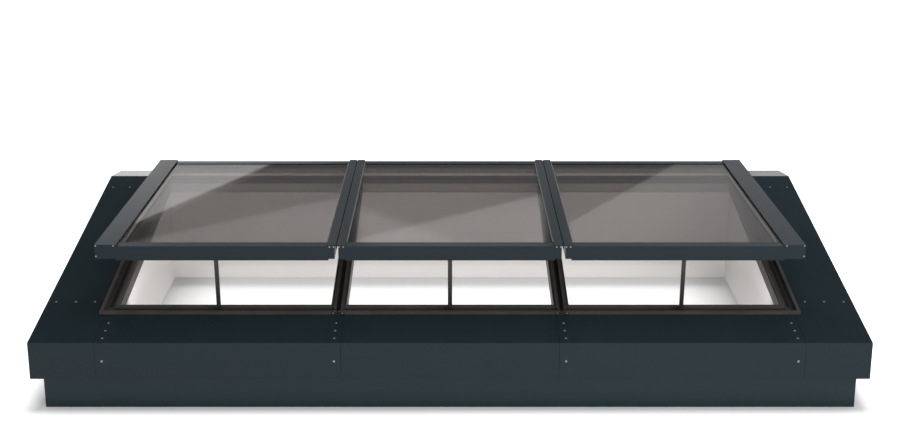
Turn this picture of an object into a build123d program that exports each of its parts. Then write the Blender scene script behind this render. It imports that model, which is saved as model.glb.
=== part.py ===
from build123d import *
import os
from math import atan, cos, radians, sin, tan

# A wedge-shaped roof kerb with three top-hung sashes side by side, shown fully open.
# The middle of the footprint is the origin, +Z is up and the low eaves side faces -Y.
# A place on a slope is given as (x, up the slope, height square to the slope).

os.makedirs("parts", exist_ok=True)

# Kerb
KERB_HALF_WIDTH = 1777.0
KERB_HALF_DEPTH = 951.0
WALL = 288.0
HOOD_OVERHANG = 46.0
HOOD_BOTTOM = 152.0
EAVES_HEIGHT = 319.0
ROOF_PITCH = 9.0
ROOF_LENGTH = 1773.0
BACK_FALL = 7.7
SHEET = 2.0
HEM = 18.0
LINING_BOARD = 15.0
LINING_BOTTOM = 53.0
SOLE_WIDTH = 120.0
SOLE_HEIGHT = 50.0
ANCHOR_DIAMETER = 14.0
ANCHOR_DEPTH = 40.0
ANCHOR_X = (560.0, 1690.0)

# Joints of the cladding and their screws
CORNER_JOINT_X = 1536.0
FRONT_JOINT_X = 473.0
FRONT_SIDE_JOINT = 236.0
BACK_SIDE_JOINT = 1600.0
JOINT_GAP = 1.2
SCREW_SETBACK = 29.0
ROOF_SCREWS_UP = (40.0, 106.0, 173.0)
FASCIA_SCREW_DOWN = 85.0
SIDE_SCREWS_X = (1608.0, 1695.0, 1784.0)
SIDE_SCREWS_UP = (368.0, 1627.0)
SCREW_HEAD_RADIUS = 5.0
SCREW_HEAD_HEIGHT = 2.5
SCREW_RADIUS = 2.4
SCREW_LENGTH = 22.0
SCREW_HOLE = 2.6
SCREW_HEAD_TAPER = 20.0

# Module frames in the roof
MODULE_PITCH = 1000.0
MODULE_GAP = 2.0
FRAME_START = 251.0
FRAME_LENGTH = 1500.0
FRAME_HALF_WIDTH = 1564.5
FRAME_RAIL = 75.0
FRAME_LIP = 15.0
FRAME_RIDGE = 15.0
LIP_TOP = 13.0
RIDGE_TOP = 9.0
CHANNEL = -12.0
FRAME_BOTTOM = -60.0
MULLION_RAIL = 33.5
MULLION_CHANNEL = 8.5
SEAT_GAP = 1.0
MITRE_GAP = 0.4
SEAL_WIDTH = 17.0
SEAL_THICKNESS = 3.0
GROOVE = 4.5
GROOVE_DEPTH = 5.0
FACE_GROOVE_START = 3.0
FACE_GROOVE_END = 15.0
END_PLATE_WIDTH = 57.0
END_PLATE_HEIGHT = 12.0
END_PLATE_THICKNESS = 2.5
RIDGE_NOTCH_LENGTH = 46.0
RIDGE_NOTCH_DEPTH = 8.0

# Sashes, in their open place
OPEN_ANGLE = 9.5
SASH_FRONT_Y = -752.0
SASH_FRONT_Z = 685.0
SASH_LENGTH = 1566.0
SASH_GAP = 4.0
OUTER_CAP = 94.0
INNER_CAP = 39.5
CAP_LEDGE = 6.0
CAP_FLANGE = 6.3
CAP_HEIGHT = 65.0
END_CAP = 3.0
STILE_SKIRT = 63.0
SKIRT_WALL = 4.0
SASH_DEPTH = 60.0
GLASS_BED = 45.0
RAIL_TOP = 6.5
GLASS_CLIP = 8.2
FRONT_RAIL = 57.0
BACK_RAIL = 157.0
BACK_COVER = 58.0
INNER_BODY_SETBACK = 6.0
DRIP_DEPTH = 74.0
FACE_DEPTH = 58.0
LIP_DEPTH = 66.0
LIP_STEP = 2.0
DRIP_FRONT = 6.0
DRIP_BACK = 11.0
GLASS_TOP = 8.5
GLASS_UNIT = 36.0
PANE = 8.0
SPACER = 14.0
SPACER_PLAY = 0.1
SPACER_INSET = 1.0
GLASS_BITE = 24.0
INNER_GLASS_BITE = 18.0
GASKET_WIDTH = 8.0
GASKET_HEIGHT = 8.5
GASKET_TAPER = 10.0
GASKET_INSET = 8.0
PART_GAP = 0.3

# Hinges
HINGE_UP = 1485.0
HINGE_DEPTH = 53.0
HINGE_OFFSET = 330.0
KNUCKLE_RADIUS = 7.5
KNUCKLE_WIDTH = 30.0
PIN_RADIUS = 4.0
PIN_PLAY = 0.05
CHEEK = 5.0
CHEEK_PLAY = 0.5
HINGE_POCKET = 12.0
CHEEK_SETBACK = 0.5
LEAF_THICKNESS = 4.0
LEAF_SETBACK = 1.0

# Chain drives
CHAIN_X = (-1035.0, 0.0, 1035.0)
PIVOT_UP = 20.0
PIVOT_DEPTH = 72.0
CHAIN_WIDTH = 19.0
CHAIN_DEPTH = 9.0
CHAIN_WAIST = 13.0
LINK_PITCH = 12.0
LINK_LENGTH = 10.0
CHAIN_TAIL = 22.0
CHAIN_PLAY = 1.2
WELL_PLAY = 2.0
DRIVE_FRONT = 20.0
DRIVE_WIDTH = 36.0
DRIVE_HEIGHT = 38.0
DRIVE_LENGTH = 380.0
DRIVE_OFFSET = 110.0
FORK_CHEEK = 3.0
FORK_FRONT = 12.5
FORK_LENGTH = 25.0
FORK_DEPTH = 82.0
FORK_PIN_RADIUS = 3.0
FORK_SLOT_TRAVEL = 9.0
FORK_SLOT_PLAY = 3.0
FORK_SLOT_SHIFT = 2.5

PITCH = radians(ROOF_PITCH)
LEAN = radians(ROOF_PITCH - OPEN_ANGLE)
HOOD_HALF_WIDTH = KERB_HALF_WIDTH + HOOD_OVERHANG
HOOD_HALF_DEPTH = KERB_HALF_DEPTH + HOOD_OVERHANG
RIDGE_Y = -HOOD_HALF_DEPTH + ROOF_LENGTH * cos(PITCH)
RIDGE_Z = EAVES_HEIGHT + ROOF_LENGTH * sin(PITCH)
LINING_X = KERB_HALF_WIDTH - WALL
LINING_Y = KERB_HALF_DEPTH - WALL
CORE_X = KERB_HALF_WIDTH - SHEET
CORE_Y = KERB_HALF_DEPTH - SHEET
CORE_INNER_X = LINING_X + LINING_BOARD
CORE_INNER_Y = LINING_Y + LINING_BOARD
BASE = (Align.CENTER, Align.CENTER, Align.MIN)


def slope_point(y, z, angle, up, height):
    """Y and Z of a place on a slope that starts at (y, z)."""
    return (
        y + up * cos(angle) - height * sin(angle),
        z + up * sin(angle) + height * cos(angle),
    )


def roof_plane(x, up, height=0.0):
    """Plane in the roof: X across, Y up the slope."""
    point = slope_point(-HOOD_HALF_DEPTH, EAVES_HEIGHT, PITCH, up, height)
    return Plane(origin=(x, *point), x_dir=(1, 0, 0), z_dir=(0, -sin(PITCH), cos(PITCH)))


def sash_plane(x, up, height=0.0):
    """Plane in the top of the open sashes: X across, Y towards the hinges."""
    point = slope_point(SASH_FRONT_Y, SASH_FRONT_Z, LEAN, up, height)
    return Plane(origin=(x, *point), x_dir=(1, 0, 0), z_dir=(0, -sin(LEAN), cos(LEAN)))


def section_plane(base, facing):
    """Upright plane at the origin of a slope plane; its X points inwards from that side."""
    inwards = {
        "left": base.x_dir,
        "right": -base.x_dir,
        "front": base.y_dir,
        "back": -base.y_dir,
    }[facing]
    return Plane(origin=base.origin, x_dir=inwards, z_dir=inwards.cross(base.z_dir))


def outline(plane, points):
    """Face with the given corners."""
    with BuildSketch(plane) as face:
        with BuildLine():
            Polyline(*points, close=True)
        make_face()
    return face.sketch


def roof_z(y, drop=0.0):
    """Height of the cladding at y, lowered by a drop square to the roof."""
    if y <= RIDGE_Y:
        return EAVES_HEIGHT + (y + HOOD_HALF_DEPTH) * tan(PITCH) - drop / cos(PITCH)
    return RIDGE_Z - (y - RIDGE_Y) * tan(radians(BACK_FALL)) - drop / cos(PITCH)


def under_roof(x, y_front, y_back, bottom, drop=0.0):
    """Face in a YZ plane at x, from a level bottom up to a drop below the cladding."""
    tops = [(y_front, roof_z(y_front, drop))]
    if y_front < RIDGE_Y < y_back:
        tops.append((RIDGE_Y, roof_z(RIDGE_Y, drop)))
    tops.append((y_back, roof_z(y_back, drop)))
    return outline(Plane.YZ.offset(x), [(y_front, bottom), *tops, (y_back, bottom)])


def save(piece, name):
    """Name one finished piece and write it."""
    piece.part.label = name
    export_step(piece.part, f"parts/{name}.step")


def screw_planes():
    """Planes on the cladding, square to each of its screws."""
    planes = []
    for sign in (-1, 1):
        for joint in (CORNER_JOINT_X - SCREW_SETBACK, FRONT_JOINT_X + SCREW_SETBACK):
            planes += [roof_plane(sign * joint, up) for up in ROOF_SCREWS_UP]
            fascia = (sign * joint, -HOOD_HALF_DEPTH, EAVES_HEIGHT - FASCIA_SCREW_DOWN)
            planes.append(Plane(origin=fascia, x_dir=(1, 0, 0), z_dir=(0, -1, 0)))
        back = (
            sign * (CORNER_JOINT_X - SCREW_SETBACK),
            HOOD_HALF_DEPTH,
            roof_z(HOOD_HALF_DEPTH) - FASCIA_SCREW_DOWN,
        )
        planes.append(Plane(origin=back, x_dir=(1, 0, 0), z_dir=(0, 1, 0)))
        for up in SIDE_SCREWS_UP:
            planes += [roof_plane(sign * x, up) for x in SIDE_SCREWS_X]
            side_y = roof_plane(0, up).origin.Y
            flank = (sign * HOOD_HALF_WIDTH, side_y, roof_z(side_y) - FASCIA_SCREW_DOWN)
            planes.append(Plane(origin=flank, x_dir=(0, 1, 0), z_dir=(sign, 0, 0)))
    return planes


SCREWS = screw_planes()


def screw_holes():
    """Drill the cladding screws' holes through the piece being built."""
    for plane in SCREWS:
        with BuildSketch(plane) as hole:
            Circle(SCREW_HOLE)
        extrude(hole.sketch, -SCREW_LENGTH - SHEET, mode=Mode.SUBTRACT)


def frame_seat():
    """Step the piece being built down under the module frames."""
    with BuildSketch(roof_plane(0, FRAME_START + FRAME_LENGTH / 2, FRAME_BOTTOM)) as seat:
        Rectangle(2 * (FRAME_HALF_WIDTH + SEAT_GAP), FRAME_LENGTH + 2 * SEAT_GAP)
    extrude(seat.sketch, -2 * FRAME_BOTTOM, mode=Mode.SUBTRACT)


# Lines of the chains: each leans along the chord of the arc that its fork moves on
PIVOT = slope_point(SASH_FRONT_Y, SASH_FRONT_Z, LEAN, PIVOT_UP, -PIVOT_DEPTH)
CHAIN_RADIUS = HINGE_UP - PIVOT_UP
CHAIN_LEAN = radians(ROOF_PITCH - OPEN_ANGLE / 2) + atan((PIVOT_DEPTH - HINGE_DEPTH) / CHAIN_RADIUS)
CHAIN_TRAVEL = 2 * CHAIN_RADIUS * sin(radians(OPEN_ANGLE / 2))


def chain_drop():
    """Length of chain between the fork's pin and the channel of the frame."""
    channel_y, channel_z = slope_point(
        -HOOD_HALF_DEPTH, EAVES_HEIGHT, PITCH, FRAME_START + FRAME_RAIL / 2, CHANNEL
    )
    return (PIVOT[1] - channel_z) / cos(CHAIN_LEAN)


CHAIN_DROP = chain_drop()


def chain_plane(x, down=0.0):
    """Plane across a chain, that far down from its top pin, looking up along it."""
    return Plane(
        origin=(x, PIVOT[0] + down * sin(CHAIN_LEAN), PIVOT[1] - down * cos(CHAIN_LEAN)),
        x_dir=(1, 0, 0),
        z_dir=(0, -sin(CHAIN_LEAN), cos(CHAIN_LEAN)),
    )


def chain_slot(play):
    """Cut the chains' straight ways down into the piece being built."""
    depth = CHAIN_DROP + CHAIN_TRAVEL + CHAIN_TAIL + WELL_PLAY
    for x in CHAIN_X:
        with BuildSketch(chain_plane(x, depth)) as slot:
            Rectangle(CHAIN_WIDTH + 2 * play, CHAIN_DEPTH + 2 * play)
        extrude(slot.sketch, depth, mode=Mode.SUBTRACT)


# Sole timbers on the roof deck, with blind holes for the anchors that come from below
with BuildPart() as sole_frame:
    for side in (-1, 1):
        beam_y = side * (CORE_Y - SOLE_WIDTH / 2)
        with Locations((0, beam_y, 0)):
            Box(2 * CORE_X, SOLE_WIDTH, SOLE_HEIGHT, align=BASE)
        with Locations((side * (CORE_X - SOLE_WIDTH / 2), 0, 0)):
            Box(SOLE_WIDTH, 2 * (CORE_Y - SOLE_WIDTH) - JOINT_GAP, SOLE_HEIGHT, align=BASE)
        for anchor_x in ANCHOR_X:
            with Locations((-anchor_x, beam_y, 0), (anchor_x, beam_y, 0)):
                Cylinder(ANCHOR_DIAMETER / 2, ANCHOR_DEPTH, align=BASE, mode=Mode.SUBTRACT)
save(sole_frame, "sole_frame")

# Insulated wall cores
with BuildPart() as core_front:
    extrude(under_roof(0, -CORE_Y, -CORE_INNER_Y, SOLE_HEIGHT, SHEET), CORE_X, both=True)
    frame_seat()
    chain_slot(WELL_PLAY)
    screw_holes()
save(core_front, "core_front")

with BuildPart() as core_back:
    extrude(under_roof(0, CORE_INNER_Y, CORE_Y, SOLE_HEIGHT, SHEET), CORE_X, both=True)
    frame_seat()
    screw_holes()
save(core_back, "core_back")

for side_name, side in (("left", -1), ("right", 1)):
    with BuildPart() as core_side:
        middle = side * (CORE_X + CORE_INNER_X) / 2
        face = under_roof(middle, -CORE_INNER_Y, CORE_INNER_Y, SOLE_HEIGHT, SHEET)
        extrude(face, (CORE_X - CORE_INNER_X) / 2, both=True)
        frame_seat()
        screw_holes()
    save(core_side, f"core_{side_name}")

# Plinth sheets round the outside of the walls
for side_name, side in (("front", -1), ("back", 1)):
    with BuildPart() as plinth:
        inner, outer = sorted((side * CORE_Y, side * KERB_HALF_DEPTH))
        extrude(under_roof(0, inner, outer, 0, 2 * SHEET), KERB_HALF_WIDTH, both=True)
    save(plinth, f"plinth_{side_name}")

for side_name, side in (("left", -1), ("right", 1)):
    with BuildPart() as plinth:
        face = under_roof(side * (KERB_HALF_WIDTH - SHEET / 2), -CORE_Y, CORE_Y, 0, 2 * SHEET)
        extrude(face, SHEET / 2, both=True)
    save(plinth, f"plinth_{side_name}")

# White lining boards of the light well
LINING_DROP = PART_GAP - FRAME_BOTTOM
for side_name, side in (("front", -1), ("back", 1)):
    with BuildPart() as lining:
        inner, outer = sorted((side * LINING_Y, side * CORE_INNER_Y))
        extrude(under_roof(0, inner, outer, LINING_BOTTOM, LINING_DROP), CORE_INNER_X, both=True)
    save(lining, f"lining_{side_name}")

for side_name, side in (("left", -1), ("right", 1)):
    with BuildPart() as lining:
        middle = side * (LINING_X + LINING_BOARD / 2)
        face = under_roof(middle, -LINING_Y, LINING_Y, LINING_BOTTOM, LINING_DROP)
        extrude(face, LINING_BOARD / 2, both=True)
    save(lining, f"lining_{side_name}")

# Cladding: one folded hood, cut at its joints into corners, fronts, sides and back
with BuildPart() as hood:
    extrude(
        under_roof(0, -HOOD_HALF_DEPTH, HOOD_HALF_DEPTH, HOOD_BOTTOM),
        HOOD_HALF_WIDTH,
        both=True,
    )
    extrude(
        under_roof(0, SHEET - HOOD_HALF_DEPTH, HOOD_HALF_DEPTH - SHEET, HOOD_BOTTOM + SHEET, SHEET),
        HOOD_HALF_WIDTH - SHEET,
        both=True,
        mode=Mode.SUBTRACT,
    )
    with BuildSketch(Plane.XY.offset(HOOD_BOTTOM)):
        Rectangle(2 * (HOOD_HALF_WIDTH - HEM), 2 * (HOOD_HALF_DEPTH - HEM))
    extrude(amount=SHEET, mode=Mode.SUBTRACT)
    frame_seat()
    screw_holes()

FRONT_SIDE_Y = slope_point(-HOOD_HALF_DEPTH, EAVES_HEIGHT, PITCH, FRONT_SIDE_JOINT, 0)[0]
BACK_SIDE_Y = slope_point(-HOOD_HALF_DEPTH, EAVES_HEIGHT, PITCH, BACK_SIDE_JOINT, 0)[0]
FRONT_STRIP_Y = slope_point(-HOOD_HALF_DEPTH, EAVES_HEIGHT, PITCH, FRAME_START, 0)[0]
BEYOND_X = HOOD_HALF_WIDTH + SHEET
BEYOND_Y = HOOD_HALF_DEPTH + SHEET
COLUMNS = {
    "left": (-BEYOND_X, -CORNER_JOINT_X),
    "front_left": (-CORNER_JOINT_X, -FRONT_JOINT_X),
    "front_middle": (-FRONT_JOINT_X, FRONT_JOINT_X),
    "front_right": (FRONT_JOINT_X, CORNER_JOINT_X),
    "middle": (-CORNER_JOINT_X, CORNER_JOINT_X),
    "right": (CORNER_JOINT_X, BEYOND_X),
}
ROWS = {
    "front": (-BEYOND_Y, FRONT_SIDE_Y),
    "strip": (-BEYOND_Y, FRONT_STRIP_Y),
    "side": (FRONT_SIDE_Y, BACK_SIDE_Y),
    "back": (BACK_SIDE_Y, BEYOND_Y),
}
PANELS = {
    "cladding_corner_front_left": ("left", "front"),
    "cladding_corner_front_right": ("right", "front"),
    "cladding_corner_back_left": ("left", "back"),
    "cladding_corner_back_right": ("right", "back"),
    "cladding_front_left": ("front_left", "strip"),
    "cladding_front_middle": ("front_middle", "strip"),
    "cladding_front_right": ("front_right", "strip"),
    "cladding_side_left": ("left", "side"),
    "cladding_side_right": ("right", "side"),
    "cladding_back": ("middle", "back"),
}
for panel_name, (column, row) in PANELS.items():
    x_from, x_to = COLUMNS[column]
    y_from, y_to = ROWS[row]
    with BuildPart() as panel:
        add(hood.part)
        with BuildSketch():
            with Locations(((x_from + x_to) / 2, (y_from + y_to) / 2)):
                Rectangle(x_to - x_from - JOINT_GAP, y_to - y_from - JOINT_GAP)
        extrude(amount=2 * RIDGE_Z, mode=Mode.INTERSECT)
    save(panel, panel_name)

with BuildPart() as cladding_screws:
    for screw_plane in SCREWS:
        with BuildSketch(screw_plane):
            Circle(SCREW_HEAD_RADIUS)
        extrude(amount=SCREW_HEAD_HEIGHT, taper=SCREW_HEAD_TAPER)
        with BuildSketch(screw_plane):
            Circle(SCREW_RADIUS)
        extrude(amount=-SCREW_LENGTH)
save(cladding_screws, "cladding_screws")

# Module frames: four mitred members each, with a lip outside and a ridge inside a channel
MODULE_EDGE = MODULE_PITCH / 2
MODULES = {
    "left": (-FRAME_HALF_WIDTH, -MODULE_EDGE - MODULE_GAP / 2),
    "middle": (MODULE_GAP / 2 - MODULE_EDGE, MODULE_EDGE - MODULE_GAP / 2),
    "right": (MODULE_EDGE + MODULE_GAP / 2, FRAME_HALF_WIDTH),
}


RIM_SECTION = [
    (0, FRAME_BOTTOM),
    (0, LIP_TOP),
    (FRAME_LIP, LIP_TOP),
    (FRAME_LIP, CHANNEL),
    (FRAME_RAIL - FRAME_RIDGE, CHANNEL),
    (FRAME_RAIL - FRAME_RIDGE, RIDGE_TOP),
    (FRAME_RAIL, RIDGE_TOP),
    (FRAME_RAIL, RIDGE_TOP - FACE_GROOVE_START),
    (FRAME_RAIL - GROOVE, RIDGE_TOP - FACE_GROOVE_START),
    (FRAME_RAIL - GROOVE, RIDGE_TOP - FACE_GROOVE_END),
    (FRAME_RAIL, RIDGE_TOP - FACE_GROOVE_END),
    (FRAME_RAIL, FRAME_BOTTOM),
]
MULLION_SECTION = [
    (0, FRAME_BOTTOM),
    (0, CHANNEL),
    (MULLION_CHANNEL, CHANNEL),
    (MULLION_CHANNEL, RIDGE_TOP),
    (MULLION_RAIL - 2 * GROOVE, RIDGE_TOP),
    (MULLION_RAIL - 2 * GROOVE, RIDGE_TOP - GROOVE_DEPTH),
    (MULLION_RAIL - GROOVE, RIDGE_TOP - GROOVE_DEPTH),
    (MULLION_RAIL - GROOVE, RIDGE_TOP),
    (MULLION_RAIL, RIDGE_TOP),
    (MULLION_RAIL, FRAME_BOTTOM),
]


def side_section(x_edge):
    """Width of a side member at this edge, and its section's corners."""
    if abs(x_edge) == FRAME_HALF_WIDTH:
        return FRAME_RAIL, RIM_SECTION
    return MULLION_RAIL, MULLION_SECTION


def frame_member(base, facing, section, length, corners):
    """One member: its section run along a side and mitred to its plan."""
    with BuildPart() as member:
        extrude(outline(section_plane(base, facing), section), length, both=True)
        with BuildSketch(roof_plane(0, FRAME_START)):
            with BuildLine():
                Polyline(*corners, close=True)
            make_face()
            offset(amount=-MITRE_GAP / 2, kind=Kind.INTERSECTION)
        extrude(amount=-2 * FRAME_BOTTOM, both=True, mode=Mode.INTERSECT)
        if facing == "front":
            drive_room(PART_GAP)
            ridge_notch()
            chain_slot(CHAIN_PLAY)
    return member.part


def drive_plane(x):
    """Plane on the channel floor in the middle of the chain drive at x."""
    return roof_plane(x - DRIVE_OFFSET, FRAME_START + DRIVE_FRONT + DRIVE_WIDTH / 2, CHANNEL)


def drive_room(play):
    """Cut the chain drives' room out of the piece being built."""
    for x in CHAIN_X:
        with BuildSketch(drive_plane(x)) as room:
            Rectangle(DRIVE_LENGTH + 2 * play, DRIVE_WIDTH + 2 * play)
        extrude(room.sketch, -DRIVE_HEIGHT - play, mode=Mode.SUBTRACT)


def ridge_notch():
    """Notch the front ridge beside each chain, where the drive passes the chain out."""
    for x in CHAIN_X:
        centre_x = x - CHAIN_WIDTH / 2 - RIDGE_NOTCH_LENGTH / 2
        ridge_front = FRAME_START + FRAME_RAIL - FRAME_RIDGE
        with BuildSketch(roof_plane(centre_x, ridge_front, CHANNEL)) as notch:
            Rectangle(RIDGE_NOTCH_LENGTH, 2 * RIDGE_NOTCH_DEPTH)
        extrude(notch.sketch, LIP_TOP - CHANNEL, mode=Mode.SUBTRACT)


for module_name, (x_left, x_right) in MODULES.items():
    left_width, left_section = side_section(x_left)
    right_width, right_section = side_section(x_right)
    far = FRAME_LENGTH - FRAME_RAIL
    outer = [(x_left, 0), (x_right, 0), (x_right, FRAME_LENGTH), (x_left, FRAME_LENGTH)]
    inner = [
        (x_left + left_width, FRAME_RAIL),
        (x_right - right_width, FRAME_RAIL),
        (x_right - right_width, far),
        (x_left + left_width, far),
    ]
    sides = (
        ("front", roof_plane(x_left, FRAME_START), RIM_SECTION),
        ("right", roof_plane(x_right, FRAME_START), right_section),
        ("back", roof_plane(x_left, FRAME_START + FRAME_LENGTH), RIM_SECTION),
        ("left", roof_plane(x_left, FRAME_START), left_section),
    )
    with BuildPart() as frame:
        for index, (facing, base, section) in enumerate(sides):
            following = (index + 1) % len(sides)
            corners = [outer[index], outer[following], inner[following], inner[index]]
            add(frame_member(base, facing, section, 2 * FRAME_LENGTH, corners))
    save(frame, f"frame_{module_name}")

with BuildPart() as mullion_seals:
    for sign in (-1, 1):
        middle_up = FRAME_START + FRAME_LENGTH / 2
        with BuildSketch(roof_plane(sign * MODULE_EDGE, middle_up, CHANNEL)):
            Rectangle(SEAL_WIDTH, FRAME_LENGTH - 2 * FRAME_RAIL)
        extrude(amount=SEAL_THICKNESS)
        plate_up = FRAME_START - PART_GAP - END_PLATE_THICKNESS / 2
        with BuildSketch(roof_plane(sign * MODULE_EDGE, plate_up, PART_GAP)):
            Rectangle(END_PLATE_WIDTH, END_PLATE_THICKNESS)
        extrude(amount=END_PLATE_HEIGHT)
save(mullion_seals, "mullion_seals")

# Chain drives sunk in the channels of the front members
with BuildPart() as chain_drives:
    for x in CHAIN_X:
        with BuildSketch(drive_plane(x)):
            RectangleRounded(DRIVE_LENGTH, DRIVE_WIDTH, DRIVE_WIDTH / 6)
        extrude(amount=-DRIVE_HEIGHT)
    chain_slot(CHAIN_PLAY)
save(chain_drives, "chain_drives")

# Chains: waisted plates between round-cornered links, with a cross pin in the top eye
for module_name, x in zip(MODULES, CHAIN_X):
    chain_length = CHAIN_DROP + CHAIN_TAIL
    links = int(chain_length / LINK_PITCH)
    flat = Plane(
        origin=chain_plane(x).origin,
        x_dir=(1, 0, 0),
        z_dir=chain_plane(x).y_dir,
    )
    with BuildPart() as chain:
        with BuildSketch(flat):
            with Locations((0, links * LINK_PITCH / 2)):
                Rectangle(CHAIN_WAIST, links * LINK_PITCH)
            with Locations(*[(0, LINK_PITCH * index) for index in range(links + 1)]):
                RectangleRounded(CHAIN_WIDTH, LINK_LENGTH, LINK_LENGTH / 4)
        extrude(amount=CHAIN_DEPTH / 2, both=True)
        with BuildSketch(Plane.YZ.offset(x)):
            with Locations(PIVOT):
                Circle(FORK_PIN_RADIUS)
        extrude(amount=CHAIN_WIDTH / 2 + CHAIN_PLAY + FORK_CHEEK, both=True)
    save(chain, f"chain_{module_name}")

# Hinge brackets on the back lips of the frames
HINGE = slope_point(SASH_FRONT_Y, SASH_FRONT_Z, LEAN, HINGE_UP, -HINGE_DEPTH)
HINGE_ROOF_UP = (HINGE[0] + HOOD_HALF_DEPTH) * cos(PITCH) + (HINGE[1] - EAVES_HEIGHT) * sin(PITCH)
HINGE_ROOF_HEIGHT = (HINGE[1] - EAVES_HEIGHT) * cos(PITCH) - (HINGE[0] + HOOD_HALF_DEPTH) * sin(PITCH)
LEAF_START = FRAME_START + FRAME_LENGTH - FRAME_LIP + LEAF_SETBACK
LEAF_TOP = LIP_TOP + LEAF_THICKNESS
SASHES = {
    "left": (-FRAME_HALF_WIDTH, -MODULE_EDGE - SASH_GAP / 2),
    "middle": (SASH_GAP / 2 - MODULE_EDGE, MODULE_EDGE - SASH_GAP / 2),
    "right": (MODULE_EDGE + SASH_GAP / 2, FRAME_HALF_WIDTH),
}


def hinge_places(x_left, x_right):
    """X of the two hinges of a sash."""
    return [(x_left + x_right) / 2 + sign * HINGE_OFFSET for sign in (-1, 1)]


with BuildPart() as hinge_brackets:
    for x_left, x_right in SASHES.values():
        for x in hinge_places(x_left, x_right):
            leaf = [
                (LEAF_START, LIP_TOP),
                (FRAME_START + FRAME_LENGTH - LEAF_SETBACK, LIP_TOP),
                (HINGE_ROOF_UP + KNUCKLE_RADIUS, HINGE_ROOF_HEIGHT),
                (HINGE_ROOF_UP - KNUCKLE_RADIUS, HINGE_ROOF_HEIGHT),
                (HINGE_ROOF_UP - KNUCKLE_RADIUS, LEAF_TOP),
                (LEAF_START, LEAF_TOP),
            ]
            with BuildSketch(section_plane(roof_plane(x, 0), "front")):
                with BuildLine():
                    Polyline(*leaf, close=True)
                make_face()
                with Locations((HINGE_ROOF_UP, HINGE_ROOF_HEIGHT)):
                    Circle(KNUCKLE_RADIUS)
                    Circle(PIN_RADIUS + PIN_PLAY, mode=Mode.SUBTRACT)
            extrude(amount=KNUCKLE_WIDTH / 2, both=True)
save(hinge_brackets, "hinge_brackets")


# Sashes: two stiles, two rails, a sealed glass unit, its gasket, end caps, hinges and fork
def stile_section(cap, bite, skirt):
    """Corners of a stile's section from its outer edge; an inner stile's body is set back."""
    body = INNER_BODY_SETBACK
    foot = [(SKIRT_WALL, -SASH_DEPTH), (SKIRT_WALL, -STILE_SKIRT), (0, -STILE_SKIRT)]
    setback = [(body, -SASH_DEPTH), (body, -CAP_FLANGE), (0, -CAP_FLANGE)]
    return [
        (0, 0),
        (cap, 0),
        (cap, -CAP_FLANGE),
        (cap - CAP_LEDGE, -CAP_FLANGE),
        (cap - CAP_LEDGE, -GLASS_CLIP),
        (bite, -GLASS_CLIP),
        (bite, -GLASS_BED),
        (cap - CAP_LEDGE, -GLASS_BED),
        (cap - CAP_LEDGE, -SASH_DEPTH),
        *(foot if skirt else setback),
    ]


def cap_section(cap, skirt):
    """Corners of an end cap, the outline of its stile."""
    body = INNER_BODY_SETBACK
    setback = [(body, -CAP_HEIGHT), (body, -CAP_FLANGE), (0, -CAP_FLANGE)]
    return [
        (0, 0),
        (cap, 0),
        (cap, -CAP_FLANGE),
        (cap - CAP_LEDGE, -CAP_FLANGE),
        (cap - CAP_LEDGE, -CAP_HEIGHT),
        *([(0, -CAP_HEIGHT)] if skirt else setback),
    ]


def sash_side(x_edge):
    """Cap width, glass rebate and whether a stile has an outer skirt, at this edge."""
    if abs(x_edge) == FRAME_HALF_WIDTH:
        return OUTER_CAP, GLASS_BITE, True
    return INNER_CAP, INNER_GLASS_BITE, False


def gasket_place(cap, skirt):
    """Distance from a sash's side edge to its gasket, which closes on the frame's ridge."""
    if skirt:
        return FRAME_RAIL - (FRAME_RIDGE + GASKET_WIDTH) / 2
    return cap - CAP_LEDGE - GASKET_INSET - GASKET_WIDTH


def along_sash(plane, points, start, end, facing):
    """Run a section towards the hinges, from start to end."""
    forwards = -1 if facing == "left" else 1
    extrude(outline(plane, points), forwards * (end - start))


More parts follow.
